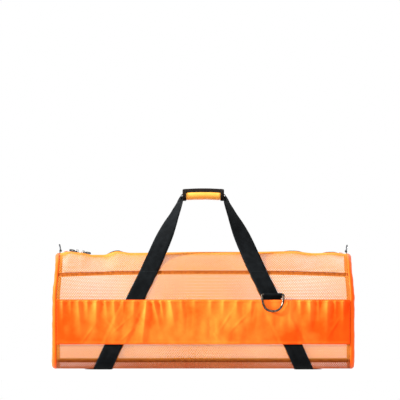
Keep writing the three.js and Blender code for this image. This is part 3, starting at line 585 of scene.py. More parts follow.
def band_off(x, t, folds, seed):
    """How far the band's inner face stands off the bag, at places along it and turns up it."""
    share = (t - BAND_LOW) / (BAND_HIGH - BAND_LOW)
    tall = share * BAND_TALL
    random = np.random.default_rng(seed)
    rise = fold_rise(folds, x, share)
    for _ in range(14):
        far, lean = random.uniform(60, 240), random.uniform(-0.5, 0.5)
        size, shift = random.uniform(0.00008, 0.00028), random.uniform(0, RANDOM_PHASE)
        rise = rise + size * (0.4 + share) * np.sin(far * (x + lean * tall) + shift)
    for _ in range(9):
        at, lean = random.uniform(-0.36, 0.36), random.choice([-1, 1]) * random.uniform(0.5, 1.1)
        low = random.uniform(0.0, 0.05)
        line = (x - at) - lean * (tall - low)
        reach = np.exp(-(((tall - low - 0.02) / 0.022) ** 2))
        rise = rise + CREASE_RISE * np.exp(-((line / 0.004) ** 2)) * reach
    ridge = np.abs(np.abs(x) - leg_x(t))
    over = OVER_LEG * (1 - smooth((ridge - WEB_WIDTH / 2 - 0.0005) / OVER_LEG_SPAN))
    edge = np.minimum(tall, BAND_TALL - tall)
    groove = np.exp(-(((edge - HEM) / 0.0008) ** 2))
    hem = HEM_RISE * (1 - smooth((edge - HEM) / 0.0012)) - HEM_RISE * groove
    still = 0.35 + 0.65 * smooth(np.minimum(edge / 0.006, 1))
    return BAND_OFF + np.maximum(rise, -0.0004) * still + over + hem


def band(name, side, folds, node, seed):
    turns = np.concatenate([
        np.linspace(BAND_LOW, BAND_LOW + 0.05, 8)[:-1],
        np.linspace(BAND_LOW + 0.05, BAND_HIGH - 0.05, 44),
        np.linspace(BAND_HIGH - 0.05, BAND_HIGH, 8)[1:],
    ])
    along = np.linspace(-HALF + 0.0006, HALF - 0.0006, 400)
    x, t = np.meshgrid(along, turns)
    off = band_off(x, t, folds, seed)
    outer = skin(x, side * t, off + BAND_WALL)
    inner = skin(x, side * t, off)
    # Height of the gathers as a share, which the material paints as a highlight on their crests
    crest_highlight = np.clip(fold_rise(folds, x, (t - BAND_LOW) / (BAND_HIGH - BAND_LOW)) / FOLD_HEIGHT, 0, 1)
    piece = cloth(name, outer, inner, nylon, uv=np.stack([x, crest_highlight], axis=-1), slot="nylon", nodes=[node])


nylon = nylon_material("coated_nylon", "#e83e08", "#f0480b", "#fa7a2a")
band("band_front", 1, FRONT_FOLDS, "front_band", 3)
band("band_back", -1, BACK_FOLDS, "back_band", 11)

# End panels.
# One flat piece of the same nylon closes each end. Its edge is turned in and sewn to the nets,
# which pulls small puckers into it, and the cloth rolls over the seam as a soft round rim.
RIM_OUT = 0.011
END_WALL = 0.0009
PUCKER = 0.0011
BILLOW = 0.018

# From the seam to the middle: distance out as a share of the rim, and size left
END_RINGS = [(0.0, 1.0), (0.35, 1.001), (0.6, 0.994), (0.85, 0.98), (1.0, 0.955), (1.02, 0.90), (1.0, 0.84),
             (0.9, 0.74), (0.78, 0.62), (0.7, 0.5), (0.64, 0.36), (0.62, 0.22), (0.6, 0.1), (0.6, 0.002)]


def end_panel(name, side, node, seed):
    """Loops of the bag's section, from the seam over the rim and in across the flat face."""
    turns = np.concatenate([np.linspace(0, 5, 130), np.linspace(-5, 0, 130)[1:]])
    middle = (HEIGHT + FLOOR_CLEAR) / 2
    random = np.random.default_rng(seed)
    around = np.linspace(0, 2 * math.pi, len(turns))
    pucker = sum(random.uniform(0.3, 1) * np.sin(n * around + random.uniform(0, RANDOM_PHASE))
                 for n in range(18, 60, 4)) / 5
    billow = sum(random.uniform(0.3, 1) * np.sin(n * around + random.uniform(0, RANDOM_PHASE))
                 for n in range(2, 6)) / 2
    grids = []
    for wall in (0.0, END_WALL):
        rows = []
        for out, size in END_RINGS:
            p = skin(side * HALF, turns, -wall)
            near = math.exp(-(((size - 0.93) / 0.07) ** 2))
            wave = PUCKER * pucker * near + BILLOW * billow * (1 - size) * size ** 3
            reach = CLEAR + RIM_OUT * out - (wall if out > 0 else 0) + (wave if out > 0 else 0)
            row = np.stack([p[:, 0] + side * reach, MIDDLE_Y + (p[:, 1] - MIDDLE_Y) * size,
                            middle + (p[:, 2] - middle) * size], axis=1)
            rows.append(row)
        grids.append(np.array(rows))
    piece = cloth(name, grids[0], grids[1], end_nylon, slot="nylon", nodes=[node])


end_nylon = nylon_material("coated_end_nylon", "#ee5412", "#f05c18", "#f2681f")
end_panel("end_cloth_left", -1, "end_panel_left", 5)
end_panel("end_cloth_right", 1, "end_panel_right", 6)

# Grip cover and its binding.
# A padded nylon cover folded up round both handles, so that its flaps lie together along the top.
# Black tape binds the flaps' edges and both ends, and the whole grip bows up a little.
COVER_HALF_TALL = 0.0143
COVER_HALF_DEEP = 0.0262
FLAP_HALF = 0.006
GRIP_CENTRE = 0.46585
GRIP_BOW = 0.0024
SLOT_HALF_WIDE = 0.0233
SLOT_HALF_TALL = 0.0027
SLOT_DROP = 0.0008
SLOT_SQUARE = 0.3
MOUTH_DROP = 0.0065
MOUTH_DEEP = 0.010
BINDING_WALL = 0.0013
BINDING_OVER = 0.0003
BINDING_WIDTH = 0.0100
END_ROUND = 0.0035
PINCH = 0.0010
SWELL = 0.00009
BEAD_RISE = 0.0004
BEAD_WIDTH = 0.0012
BINDING_LAP = 0.002


def rounded(value, power):
    """A sine or cosine pushed out toward a square corner."""
    return np.sign(value) * np.abs(value) ** power


def bezier(points, count):
    a, b, c, d = (np.array(p) for p in points)
    k = np.linspace(0, 1, count, endpoint=False)[:, None]
    return a * (1 - k) ** 3 + 3 * b * k * (1 - k) ** 2 + 3 * c * k * k * (1 - k) + d * k ** 3


def grip_outline(grow):
    """Across and up round the cover's section, from the left end of the flaps' edge."""
    tall, deep, flap = COVER_HALF_TALL + grow, COVER_HALF_DEEP + grow, FLAP_HALF + grow
    top = np.stack([np.linspace(-flap, flap, 12, endpoint=False), np.full(12, tall)], axis=1)
    right = bezier([(flap, tall), (flap + 0.3 * deep, 0.8 * tall), (deep, 0.6 * tall), (deep, 0)], 22)
    low = bezier([(deep, 0), (deep, -0.7 * tall), (0.6 * deep, -tall), (0, -tall)], 22)
    half = np.concatenate([right, low])
    back = np.concatenate([low[:0:-1], right[::-1]]) * (-1, 1)
    return np.concatenate([top, half, [(0, -tall)], back[:-1]])


def grip_high(x):
    """Height of the bowed grip's middle at places along it."""
    return GRIP_CENTRE - GRIP_BOW * (2 * x / GRIP_LENGTH) ** 2


def grip_row(x, grow):
    """One loop of the section at a place along the grip, rounded over near the ends."""
    left = GRIP_LENGTH / 2 - abs(x)
    past = max(END_ROUND - left, 0.0)
    shrink = END_ROUND - math.sqrt(max(END_ROUND ** 2 - past ** 2, 0.0))
    loop = grip_outline(grow - shrink)
    return np.column_stack([np.full(len(loop), x), MIDDLE_Y + loop[:, 0], grip_high(x) + loop[:, 1]])


def tube(outer, inner):
    """A closed wall round a hollow, from rows of closed loops."""
    rows, around = outer.shape[:2]
    count = rows * around
    i, j = np.meshgrid(np.arange(rows - 1), np.arange(around), indexing="ij")
    a = (i * around + j).ravel()
    b = (i * around + (j + 1) % around).ravel()
    shell = np.stack([a, b, b + around, a + around], axis=1)
    ring = np.arange(around)
    after = (ring + 1) % around
    first = np.stack([ring, ring + count, after + count, after], axis=1)
    last = first[:, ::-1] + (rows - 1) * around
    points = np.concatenate([outer.reshape(-1, 3), inner.reshape(-1, 3)])
    return points, np.concatenate([shell, shell[:, ::-1] + count, first, last])


def join(parts):
    """Several closed meshes as one."""
    start = np.cumsum([0] + [len(points) for points, _ in parts])
    points = np.concatenate([points for points, _ in parts])
    faces = [tuple(int(i) + int(s) for i in face) for (_, group), s in zip(parts, start) for face in group]
    return points, faces


def grip_cover():
    """The padded cover: a swelling skin outside, and a flat slot for both handles through it."""
    random = np.random.default_rng(21)
    along = np.linspace(-GRIP_LENGTH / 2 + 0.0004, GRIP_LENGTH / 2 - 0.0004, 90)
    outer = []
    for x in along:
        inside = smooth((GRIP_LENGTH / 2 - BINDING_WIDTH + 0.001 - abs(x)) / 0.006)
        outer.append(grip_row(x, -PINCH * (1 - inside)))
    outer = np.array(outer)
    count = outer.shape[1]
    around = np.linspace(0, 2 * math.pi, count, endpoint=False)
    swell = np.zeros(outer.shape[:2])
    for _ in range(9):
        far, many = random.uniform(60, 260), random.integers(2, 9)
        high = random.uniform(0.4, 1.0)
        swell += high * np.sin(far * along[:, None] + many * around + random.uniform(0, RANDOM_PHASE))
    middle = np.stack([along, np.full(len(along), MIDDLE_Y), grip_high(along)], axis=1)
    outward = outer - middle[:, None]
    outward /= np.linalg.norm(outward, axis=2, keepdims=True)
    quiet = smooth((GRIP_LENGTH / 2 - BINDING_WIDTH - np.abs(along)) / 0.012)
    outer = outer + outward * (swell * quiet[:, None] * SWELL)[:, :, None]
    start = np.arctan2(outer[0, :, 2] - middle[0, 2], outer[0, :, 1] - MIDDLE_Y)
    y = SLOT_HALF_WIDE * rounded(np.cos(start), SLOT_SQUARE)
    z = SLOT_HALF_TALL * rounded(np.sin(start), SLOT_SQUARE)
    slot = []
    for x in along:
        mouth = MOUTH_DROP * smooth((abs(x) - GRIP_LENGTH / 2 + MOUTH_DEEP) / MOUTH_DEEP)
        down = np.where(z < 0, z * (1 + mouth / SLOT_HALF_TALL), z)
        slot.append(np.column_stack([np.full(count, x), MIDDLE_Y + y, GRIP_MIDDLE - SLOT_DROP + down]))
    slot = np.array(slot)
    points, faces = tube(outer, slot)
    piece = new_piece("grip_cover", points, faces, grip_cloth, slot="nylon", nodes=["handle_wrap"])


def grip_binding():
    """Tape folded over each end of the cover, and over the flaps' edges between them."""
    parts = []
    outside, under = BINDING_OVER + BINDING_WALL, BINDING_OVER
    for side in (-1, 1):
        along = side * np.concatenate([
            np.linspace(GRIP_LENGTH / 2 - BINDING_WIDTH, GRIP_LENGTH / 2 - END_ROUND, 8)[:-1],
            GRIP_LENGTH / 2 - END_ROUND + END_ROUND * np.sin(np.linspace(0, 1.25, 9)),
        ])
        from_edge = GRIP_LENGTH / 2 - BINDING_WIDTH - np.abs(along)
        bead = BEAD_RISE * np.exp(-((from_edge / BEAD_WIDTH) ** 2))
        outer = np.array([grip_row(x, outside + b) for x, b in zip(along, bead)])
        inner = np.array([grip_row(x, under - 0.0002) for x in along])
        parts.append(tube(outer, inner))
    half = GRIP_LENGTH / 2 - BINDING_WIDTH + BINDING_LAP
    along = np.linspace(-half, half, 60)
    level = COVER_HALF_TALL + outside - BINDING_WIDTH
    outline = grip_outline(outside)
    covered = np.flatnonzero(outline[:, 1] > level)
    # Put in order from the front flank over the top to the back one, as one strip
    first_half = len(outline) // 2
    order = np.concatenate([covered[covered > first_half], covered[covered <= first_half]])
    outer = np.array([grip_row(x, outside - 0.0001)[order] for x in along])
    inner = np.array([grip_row(x, under)[order] for x in along])
    parts.append(wall(outer, inner))
    points, faces = join(parts)
    new_piece("grip_binding", points, faces, edging, slot="webbing", nodes=["wrap_binding"])


def tape_cloth(name, dark, pale, ribs):
    # Narrow woven tape: dull, with fine ribs across it and a fuzz of fibres over it
    material, tree = new_material(name)
    place = add_node(tree, "ShaderNodeTexCoord", {})
    rib = add_node(tree, "ShaderNodeTexWave", {
        "Vector": place.outputs["Object"], "Scale": 1 / (20 * ribs) * 2 * math.pi, "Distortion": 0.6,
        "Detail": 2.0,
    }, bands_direction="DIAGONAL")
    fuzz = add_node(tree, "ShaderNodeTexNoise", {
        "Vector": place.outputs["Object"], "Scale": 90.0, "Detail": 4.0,
    })
    both = add_node(tree, "ShaderNodeMath", {0: rib.outputs[1], 1: 0.3, 2: fuzz.outputs[0]},
                    operation="MULTIPLY_ADD")
    tint = add_node(tree, "ShaderNodeValToRGB", {"Fac": both.outputs[0]})
    tint.color_ramp.elements[0].position = 0.3
    tint.color_ramp.elements[0].color = linear(dark)
    tint.color_ramp.elements[1].position = 0.95
    tint.color_ramp.elements[1].color = linear(pale)
    relief = add_node(tree, "ShaderNodeBump", {
        "Height": both.outputs[0], "Strength": 0.5, "Distance": 0.0002,
    })
    yarn = add_node(tree, "ShaderNodeBsdfPrincipled", {
        "Base Color": tint.outputs[0], "Roughness": 0.75, "Specular IOR Level": 0.08,
        "Normal": relief.outputs[0],
    })
    finish_material(tree, yarn)
    return material


# The grip lies in the middle of the bag, so the painted middle light makes it paler too
grip_cloth = nylon_material("padded_grip_nylon", "#e8953a", "#eea044", "#f7b652")
edging = tape_cloth("grosgrain_binding", "#060404", "#1c130d", 0.0011)
grip_cover()
grip_binding()

# Front ring and its tab.
# A bent steel D-ring, plated dark, hangs from a folded end of webbing on the right front leg. Its
# straight side runs through the fold, and its curve lies on the band's top hem.
RING_WIRE = 0.006
RING_WIDE = 0.051
RING_TALL = 0.038
RING_PLACE = (0.184, -0.179976, 0.19865)
RING_LEAN = math.radians(7)
RING_TAB_TAIL = 0.00965
RING_TAB_WIDE = 0.049
TAB_WALL = 0.0010
TAB_WRAP = 318


def metal_material(name, dark, pale, rough):
    # Plated steel wire: a clear reflection, a little cloudy where fingers and salt have dulled it.
    # The same cloud moves its colour between a dark and a pale tone; on the dark ring that is a
    # painted reflection of the orange bag and the white surroundings
    material, tree = new_material(name)
    place = add_node(tree, "ShaderNodeTexCoord", {})
    cloud = add_node(tree, "ShaderNodeTexNoise", {
        "Vector": place.outputs["Object"], "Scale": 160.0, "Detail": 5.0,
    })
    tint = add_node(tree, "ShaderNodeValToRGB", {"Fac": cloud.outputs[0]})
    tint.color_ramp.elements[0].position = 0.38
    tint.color_ramp.elements[0].color = linear(dark)
    tint.color_ramp.elements[1].position = 0.66
    tint.color_ramp.elements[1].color = linear(pale)
    dull = add_node(tree, "ShaderNodeMapRange", {0: cloud.outputs[0], 3: rough, 4: rough + 0.18})
    draw = add_node(tree, "ShaderNodeTexNoise", {
        "Vector": place.outputs["Object"], "Scale": 900.0, "Detail": 2.0,
    })
    relief = add_node(tree, "ShaderNodeBump", {
        "Height": draw.outputs[0], "Strength": 0.15, "Distance": 0.00005,
    })
    plate = add_node(tree, "ShaderNodeBsdfPrincipled", {
        "Base Color": tint.outputs[0], "Metallic": 1.0, "Roughness": dull.outputs[0],
        "Normal": relief.outputs[0],
    })
    finish_material(tree, plate)
    return material


def wire(path, over, radius, closed=True, sides=14):
    """Round wire along a path that lies square to the direction over."""
    path, over = np.asarray(path, float), np.asarray(over, float)
    along = np.roll(path, -1, axis=0) - np.roll(path, 1, axis=0) if closed else np.gradient(path, axis=0)
    out = np.cross(along, over)
    out /= np.linalg.norm(out, axis=1, keepdims=True)
    a = np.linspace(0, 2 * math.pi, sides, endpoint=False)
    rings = path[:, None] + radius * (np.cos(a)[:, None] * out[:, None] + np.sin(a)[:, None] * over)
    rows = len(path)
    i, j = np.meshgrid(np.arange(rows if closed else rows - 1), np.arange(sides), indexing="ij")
    here, after, beside = i * sides, (i + 1) % rows * sides, (j + 1) % sides
    faces = np.stack([here + j, here + beside, after + beside, after + j], axis=-1)
    faces = [tuple(face) for face in faces.reshape(-1, 4)]
    if not closed:
        faces += [tuple(range(sides))[::-1], tuple(range((rows - 1) * sides, rows * sides))]
    return rings.reshape(-1, 3), faces


def ring_path(inner_wide, inner_tall, thick):
    """Middle line of a D-ring below its straight side, with the corners eased."""
    half, tall = (inner_wide + thick) / 2, inner_tall + thick
    a = np.linspace(0, math.pi, 120)
    curve = np.stack([half * rounded(np.cos(a), 0.75), -tall * rounded(np.sin(a), 0.8)], axis=1)
    bar = np.stack([np.linspace(-half, half, 60)[1:-1], np.zeros(58)], axis=1)
    line = np.concatenate([curve, bar])
    step = np.concatenate([[0], np.cumsum(np.linalg.norm(np.diff(line, axis=0, append=line[:1]), axis=1))])
    at = np.linspace(0, step[-1], 160, endpoint=False)
    closed = np.concatenate([line, line[:1]])
    even = np.stack([np.interp(at, step, closed[:, k]) for k in (0, 1)], axis=1)
    for _ in range(6):
        even = (np.roll(even, 1, axis=0) + 2 * even + np.roll(even, -1, axis=0)) / 4
    return np.column_stack([even[:, 0], np.zeros(160), even[:, 1]])


def moved(points, matrix):
    """Points after a turn and shift by a 4 x 4 matrix."""
    m = np.array(matrix)
    return np.asarray(points) @ m[:3, :3].T + m[:3, 3]


def folded_tab(name, bar, tail, wide, matrix, node):
    """Webbing folded round a bar on the X axis, with both ends hanging on the bag's side of it."""
    radius = bar + CLEAR + TAB_WALL / 2
    top = np.radians(np.linspace(0, TAB_WRAP, 44))
    arc = np.stack([radius * np.cos(top), radius * np.sin(top)], axis=1)
    near = np.stack([np.full(8, radius), np.linspace(-tail, 0, 8)], axis=1)[:-1]
    far = np.stack([np.full(8, radius - TAB_WALL), np.linspace(arc[-1, 1] - 0.0004, -tail, 8)], axis=1)
    line = np.concatenate([near, arc, far])
    along = np.gradient(line, axis=0)
    along /= np.linalg.norm(along, axis=1, keepdims=True)
    out = np.stack([along[:, 1], -along[:, 0]], axis=1)
    across = np.linspace(-0.5, 0.5, 15)
    edge = 1 - 0.4 * np.abs(2 * across) ** 8
    grids = []
    for sign in (1, -1):
        shift = sign * TAB_WALL / 2 * edge[None, :, None] * out[:, None]
        flat = line[:, None] + shift
        x = np.broadcast_to(across * wide, flat.shape[:2])
        grids.append(moved(np.stack([x, flat[..., 0], flat[..., 1]], axis=-1), matrix))
    length = np.concatenate([[0], np.cumsum(np.linalg.norm(np.diff(line, axis=0), axis=1))])
    u, v = np.meshgrid(across * wide, length)
    cloth(name, grids[0], grids[1], webbing, uv=np.stack([u, v], axis=-1), slot="webbing", nodes=[node])


# Brown tint and pale patches of the dark ring: painted reflection of the orange bag and the white
# surroundings
dark_plate = metal_material("dark_plated_steel", "#2a211c", "#75695c", 0.20)
ring_matrix = Matrix.Translation(RING_PLACE) @ Matrix.Rotation(-RING_LEAN, 4, "X")
points, faces = wire(ring_path(RING_WIDE, RING_TALL, RING_WIRE), (0, 1, 0), RING_WIRE / 2, sides=20)
new_piece("d_ring_front", moved(points, ring_matrix), faces, dark_plate, body="front_ring_body",
          slot="ring_metal", nodes=["front_ring"])
folded_tab("ring_webbing", RING_WIRE / 2, RING_TAB_TAIL, RING_TAB_WIDE,
           Matrix.Translation(RING_PLACE), "ring_tab")

# End rings and their tabs.
# A smaller ring of bare steel wire stands on a short fold of webbing at the top of each end seam,
# leaning out a little, for a shoulder strap.
END_RING_WIRE = 0.004
END_RING_WIDE = 0.026
END_RING_TALL = 0.012
END_RING_LEAN = math.radians(10)
END_RING_PLACES = {"left": (-0.379528, 0.001886, 0.31585), "right": (0.379528, 0.001886, 0.313978)}
END_TAB_TAIL = 0.0075
END_TAB_WIDE = 0.0245

steel = metal_material("steel_wire", "#26282a", "#66686b", 0.35)
for name, place in END_RING_PLACES.items():
    side = -1 if name == "left" else 1
    stand = Matrix.Translation(place) @ Matrix.Rotation(side * END_RING_LEAN, 4, "Y")
    upright = stand @ Matrix.Rotation(math.pi / 2, 4, "Z") @ Matrix.Rotation(math.pi, 4, "X")
    points, faces = wire(ring_path(END_RING_WIDE, END_RING_TALL, END_RING_WIRE), (0, 1, 0), END_RING_WIRE / 2)
    new_piece(f"d_ring_{name}", moved(points, upright), faces, steel, body=f"end_ring_{name}_body",
              slot="ring_metal", nodes=[f"end_ring_{name}"])
    tab_matrix = stand @ Matrix.Rotation(-side * math.pi / 2, 4, "Z")
    folded_tab(f"end_webbing_{name}", END_RING_WIRE / 2, END_TAB_TAIL, END_TAB_WIDE,
               tab_matrix, f"end_tab_{name}")

# Zip.
# A black coil zip lies in the slit between the two top panels. Its tapes are sewn under the nets,
# and the chain rides up a little where the cloth is slack, so it shows as a dark line on the crest.
ZIP_LENGTH = 0.736
CHAIN_HALF = 0.0035
TAPE_NEAR = 0.00385
TAPE_FAR = 0.01685
ZIP_TAPE_TOP = -0.00185
ZIP_TAPE_WALL = 0.0008
CROWN_SPAN = DEPTH / 2 - TOP_RADIUS
TOOTH_PITCH = 0.0017
TOOTH_WIRE = 0.00045
CHAIN_TOP = -0.00085
CHAIN_CORE = -0.0022
CHAIN_FOOT = -0.0037
POST_HALF = 0.0018
ZIP_TAB_START = 0.36835
ZIP_TAB_STOP = 0.37835
ZIP_TAB_HALF = 0.017
ZIP_TAB_LOW = 0.0004
ZIP_TAB_HIGH = 0.0009
SLIDER_PLACES = {"left": (-0.335946, 0.001886, 0.311538), "right": (-0.320275, 0.001886, 0.309090)}
SLIDER_LEAN = math.radians(8.9)

# Where the chain rides up: place along the bag, half width and height
ZIP_RISES = [(-0.240, 0.030, 0.0030), (0.245, 0.036, 0.0022), (0.345, 0.030, 0.0024)]


def zip_rise(x):
    rise = np.zeros(np.shape(x))
    for place, half, high in ZIP_RISES:
        rise = rise + high * smooth(1.4 * (1 - np.abs((x - place) / half)))
    return rise


def crown(x, y, off):
    """A point over the crown of the top, at a distance behind its middle line."""
    return skin(x, np.where(y < 0, 5 + y / CROWN_SPAN, -5 + y / CROWN_SPAN), off)


def zip_tape(name, side, node):
    along = np.linspace(-ZIP_LENGTH / 2, ZIP_LENGTH / 2, 300)
    across = np.linspace(TAPE_NEAR - 0.0002, TAPE_FAR, 8)
    x, a = np.meshgrid(along, across)
    rise = zip_rise(x) * smooth((SLIT_HALF - a) / (SLIT_HALF - TAPE_NEAR))
    outer = crown(x, side * a, ZIP_TAPE_TOP + rise)
    inner = crown(x, side * a, ZIP_TAPE_TOP - ZIP_TAPE_WALL + rise)
    cloth(name, outer, inner, zip_fabric, slot="zip", nodes=[node])


def tooth(x, side):
    """One turn of the coil: a rounded bar from the tape's edge to just past the middle."""
    across = side * np.array([-0.0006, 0.0004, 0.0022, 0.0033])
    down = np.array([-0.0004, 0.0, 0.0, -0.0008])
    path = crown(np.full(4, x), across, CHAIN_TOP - TOOTH_WIRE + down + zip_rise(np.full(4, x)))
    return wire(path, (1, 0, 0), TOOTH_WIRE, closed=False, sides=6)


def zip_chain():
    parts = []
    posts = [place[0] for place in SLIDER_PLACES.values()]
    for i, x in enumerate(np.arange(-ZIP_LENGTH / 2 + 0.001, ZIP_LENGTH / 2 - 0.001, TOOTH_PITCH / 2)):
        if min(abs(x - post) for post in posts) > POST_HALF:
            parts.append(tooth(x, 1 if i % 2 else -1))
    breaks = [post + turn * POST_HALF for post in posts for turn in (-1, 1)]
    ends = [-ZIP_LENGTH / 2, *breaks, ZIP_LENGTH / 2]
    for start, stop in zip(ends[::2], ends[1::2]):
        along = np.linspace(start, stop, max(3, int((stop - start) / 0.004)))
        x, a = np.meshgrid(along, np.linspace(-CHAIN_HALF, CHAIN_HALF, 7))
        cord = 0.0005 * np.abs(np.cos(a / CHAIN_HALF * math.pi))
        rise = zip_rise(x)
        parts.append(wall(crown(x, a, CHAIN_CORE + cord + rise), crown(x, a, CHAIN_FOOT + rise)))
    points, faces = join(parts)
    new_piece("zip_coil", points, faces, coil_plastic, slot="zip", nodes=["zip_chain"])


def zip_end(name, side, node):
    """Nylon tab folded over one end of the zip, with its sides turned under."""
    x, a = np.meshgrid(np.linspace(ZIP_TAB_START, ZIP_TAB_STOP, 14),
                       np.linspace(-ZIP_TAB_HALF, ZIP_TAB_HALF, 44))
    edge = np.minimum(np.minimum(x - ZIP_TAB_START, ZIP_TAB_STOP - x), ZIP_TAB_HALF - np.abs(a))
    puff = 0.0005 * smooth(edge / 0.0016) + 0.0002 * np.sin(a * 900) * smooth(edge / 0.002)
    outer = crown(side * x, a, ZIP_TAB_HIGH + puff)
    cloth(name, outer, crown(side * x, a, ZIP_TAB_LOW), nylon, slot="nylon", nodes=[node])


def plastic_material(name, dark, pale, rough):
    # Moulded black nylon: a soft satin reflection with a fine sparkle from the mould
    material, tree = new_material(name)
    place = add_node(tree, "ShaderNodeTexCoord", {})
    grain = add_node(tree, "ShaderNodeTexNoise", {
        "Vector": place.outputs["Object"], "Scale": 400.0, "Detail": 3.0,
    })
    tint = add_node(tree, "ShaderNodeValToRGB", {"Fac": grain.outputs[0]})
    tint.color_ramp.elements[0].color = linear(dark)
    tint.color_ramp.elements[1].color = linear(pale)
    relief = add_node(tree, "ShaderNodeBump", {
        "Height": grain.outputs[0], "Strength": 0.2, "Distance": 0.0001,
    })
    moulded = add_node(tree, "ShaderNodeBsdfPrincipled", {
        "Base Color": tint.outputs[0], "Roughness": rough, "Specular IOR Level": 0.4,
        "Normal": relief.outputs[0],
    })
    finish_material(tree, moulded)
    return material


zip_fabric = tape_cloth("zip_tape", "#140f0d", "#2f2622", 0.0006)
coil_plastic = plastic_material("zip_coil_nylon", "#120b09", "#2c1a14", 0.4)
zip_tape("zip_side_front", -1, "zip_tape_front")
zip_tape("zip_side_back", 1, "zip_tape_back")
zip_chain()
zip_end("zip_end_left", -1, "zip_end_tab_left")
zip_end("zip_end_right", 1, "zip_end_tab_right")

# Sliders and pulls.
# Two cast sliders stand head to head near the left end. Each has a wire arch, and a moulded pull
# hangs in it by a crossbar, lying outward along the zip with its finger hole turned to the front.
PLATE_LONG = 0.013
PLATE_WIDE = 0.011
PLATE_THICK = 0.0014
PLATE_LOW = CHAIN_TOP + CLEAR
PLATE_TOP = PLATE_LOW + PLATE_THICK
UNDER_TOP = -0.0042
ARCH_HALF = 0.0037
ARCH_TALL = 0.0066
ARCH_WIRE = 0.0008
PULL_WALL = 0.0024
PULL_LIFT = PLATE_TOP + CLEAR + PULL_WALL / 2
PULL_GAP = 0.0003
PULL_TILT = math.radians(30)
HOOK_WALL = 0.0018
POST_RADIUS = 0.0012
PLATE_EASE = 0.0003
LOOP_EASE = 0.0005
SINK = 0.0004

# Ovals of a pull: place out along the zip, half length, half width and squareness
HOOK_OUTSIDE = (0.0033, 0.0042, 0.0030, 0.6)
HOOK_EYE = (0.0037, 0.0028, 0.0019, 0.6)
LOOP_OUTSIDE = (0.0136, 0.0075, 0.0045, 0.75)
LOOP_EYE = (0.0133, 0.0048, 0.0024, 0.9)


def slab(outline, low, high, ease):
    """A plate with eased edges: loops of one outline, drawn in at the top and bottom."""
    outline = np.asarray(outline, float)
    centre = outline.mean(axis=0)
    reach = np.linalg.norm(outline - centre, axis=1, keepdims=True)
    small = centre + (outline - centre) * (1 - ease / reach)
    levels = [(small, low), (outline, low + ease), (outline, high - ease), (small, high)]
    points = np.concatenate([np.column_stack([loop, np.full(len(loop), z)]) for loop, z in levels])
    count = len(outline)
    ring = np.arange(count)
    after = (ring + 1) % count
    faces = [tuple(f) for k in range(3) for f in
             np.stack([ring, after, after + count, ring + count], axis=1) + k * count]
    return points, faces + [tuple(ring[::-1]), tuple(ring + 3 * count)]


def slider_plate(side):
    """Outline of a plate: broad shoulders where the teeth part, and a narrow tail."""
    a = np.linspace(0, 2 * math.pi, 48, endpoint=False)
    x = rounded(np.cos(a), 0.5) * PLATE_LONG / 2
    y = rounded(np.sin(a), 0.5) * PLATE_WIDE / 2
    return np.column_stack([x, y * (0.9 + 0.1 * side * x / (PLATE_LONG / 2))])


def loop_wall(outer, inner, low, high, ease):
    """A flat ring between two outlines, with eased edges."""
    rows = []
    middle = (outer + inner) / 2
    drawn = []
    for edge in (outer, inner):
        toward = middle - edge
        drawn.append(edge + toward * (ease / np.linalg.norm(toward, axis=1, keepdims=True)))
    for flat, z in ((outer, low + ease), (outer, high - ease), (drawn[0], high), (drawn[1], high),
                    (inner, high - ease), (inner, low + ease), (drawn[1], low), (drawn[0], low)):
        rows.append(np.column_stack([flat, np.full(len(flat), z)]))
    grid = np.array(rows)
    tall, count = grid.shape[:2]
    i, j = np.meshgrid(np.arange(tall), np.arange(count), indexing="ij")
    a, b = i * count, (i + 1) % tall * count
    quads = np.stack([a + j, a + (j + 1) % count, b + (j + 1) % count, b + j], axis=-1).reshape(-1, 4)
    return grid.reshape(-1, 3), [tuple(q) for q in quads]


def oval(x, half_long, half_wide, power, count=64):
    a = np.linspace(0, 2 * math.pi, count, endpoint=False)
    return np.column_stack([x + half_long * rounded(np.cos(a), power), half_wide * rounded(np.sin(a), power)])


def slider(name, side):
    seat = Matrix.Translation(SLIDER_PLACES[name]) @ Matrix.Rotation(SLIDER_LEAN, 4, "Y")
    plate = slider_plate(-side)
    post = oval(0.0, POST_RADIUS, POST_RADIUS, 1.0, 20)
    parts = [
        slab(plate, PLATE_LOW, PLATE_TOP, PLATE_EASE),
        slab(plate, UNDER_TOP - PLATE_THICK, UNDER_TOP, PLATE_EASE),
        slab(post, UNDER_TOP - SINK, PLATE_LOW + SINK, 0.0001),
    ]
    points, faces = join(parts)
    new_piece(f"slider_body_{name}", moved(points, seat), faces, black_cast, slot="slider_metal",
              nodes=[f"slider_{name}"], soft=False)
    bend = np.linspace(0, math.pi, 24)
    spring = PLATE_TOP + ARCH_TALL - ARCH_HALF
    arch = np.column_stack([-ARCH_HALF * np.cos(bend), np.zeros(24), spring + ARCH_HALF * np.sin(bend)])
    foot = np.array([[-ARCH_HALF, 0, PLATE_TOP - SINK], [-ARCH_HALF, 0, PLATE_TOP + 0.002]])
    path = np.concatenate([foot, arch, foot[::-1] * (-1, 1, 1)])
    points, faces = wire(path, (0, 1, 0), ARCH_WIRE, closed=False)
    new_piece(f"slider_arch_{name}", moved(points, seat), faces, bright_wire, slot="slider_metal")
    tilt = seat @ Matrix.Translation((0, 0, PULL_LIFT + PULL_GAP)) @ Matrix.Rotation(PULL_TILT, 4, "X")
    rims = [oval(side * rim[0], *rim[1:]) for rim in (HOOK_OUTSIDE, HOOK_EYE, LOOP_OUTSIDE, LOOP_EYE)]
    hook = loop_wall(rims[0], rims[1], -HOOK_WALL / 2, HOOK_WALL / 2, PLATE_EASE)
    grip = loop_wall(rims[2], rims[3], -PULL_WALL / 2, PULL_WALL / 2, LOOP_EASE)
    points, faces = join([hook, grip])
    new_piece(f"pull_loop_{name}", moved(points, tilt), faces, pull_plastic, body=f"pull_{name}_body",
              slot="pull", nodes=[f"pull_{name}"])


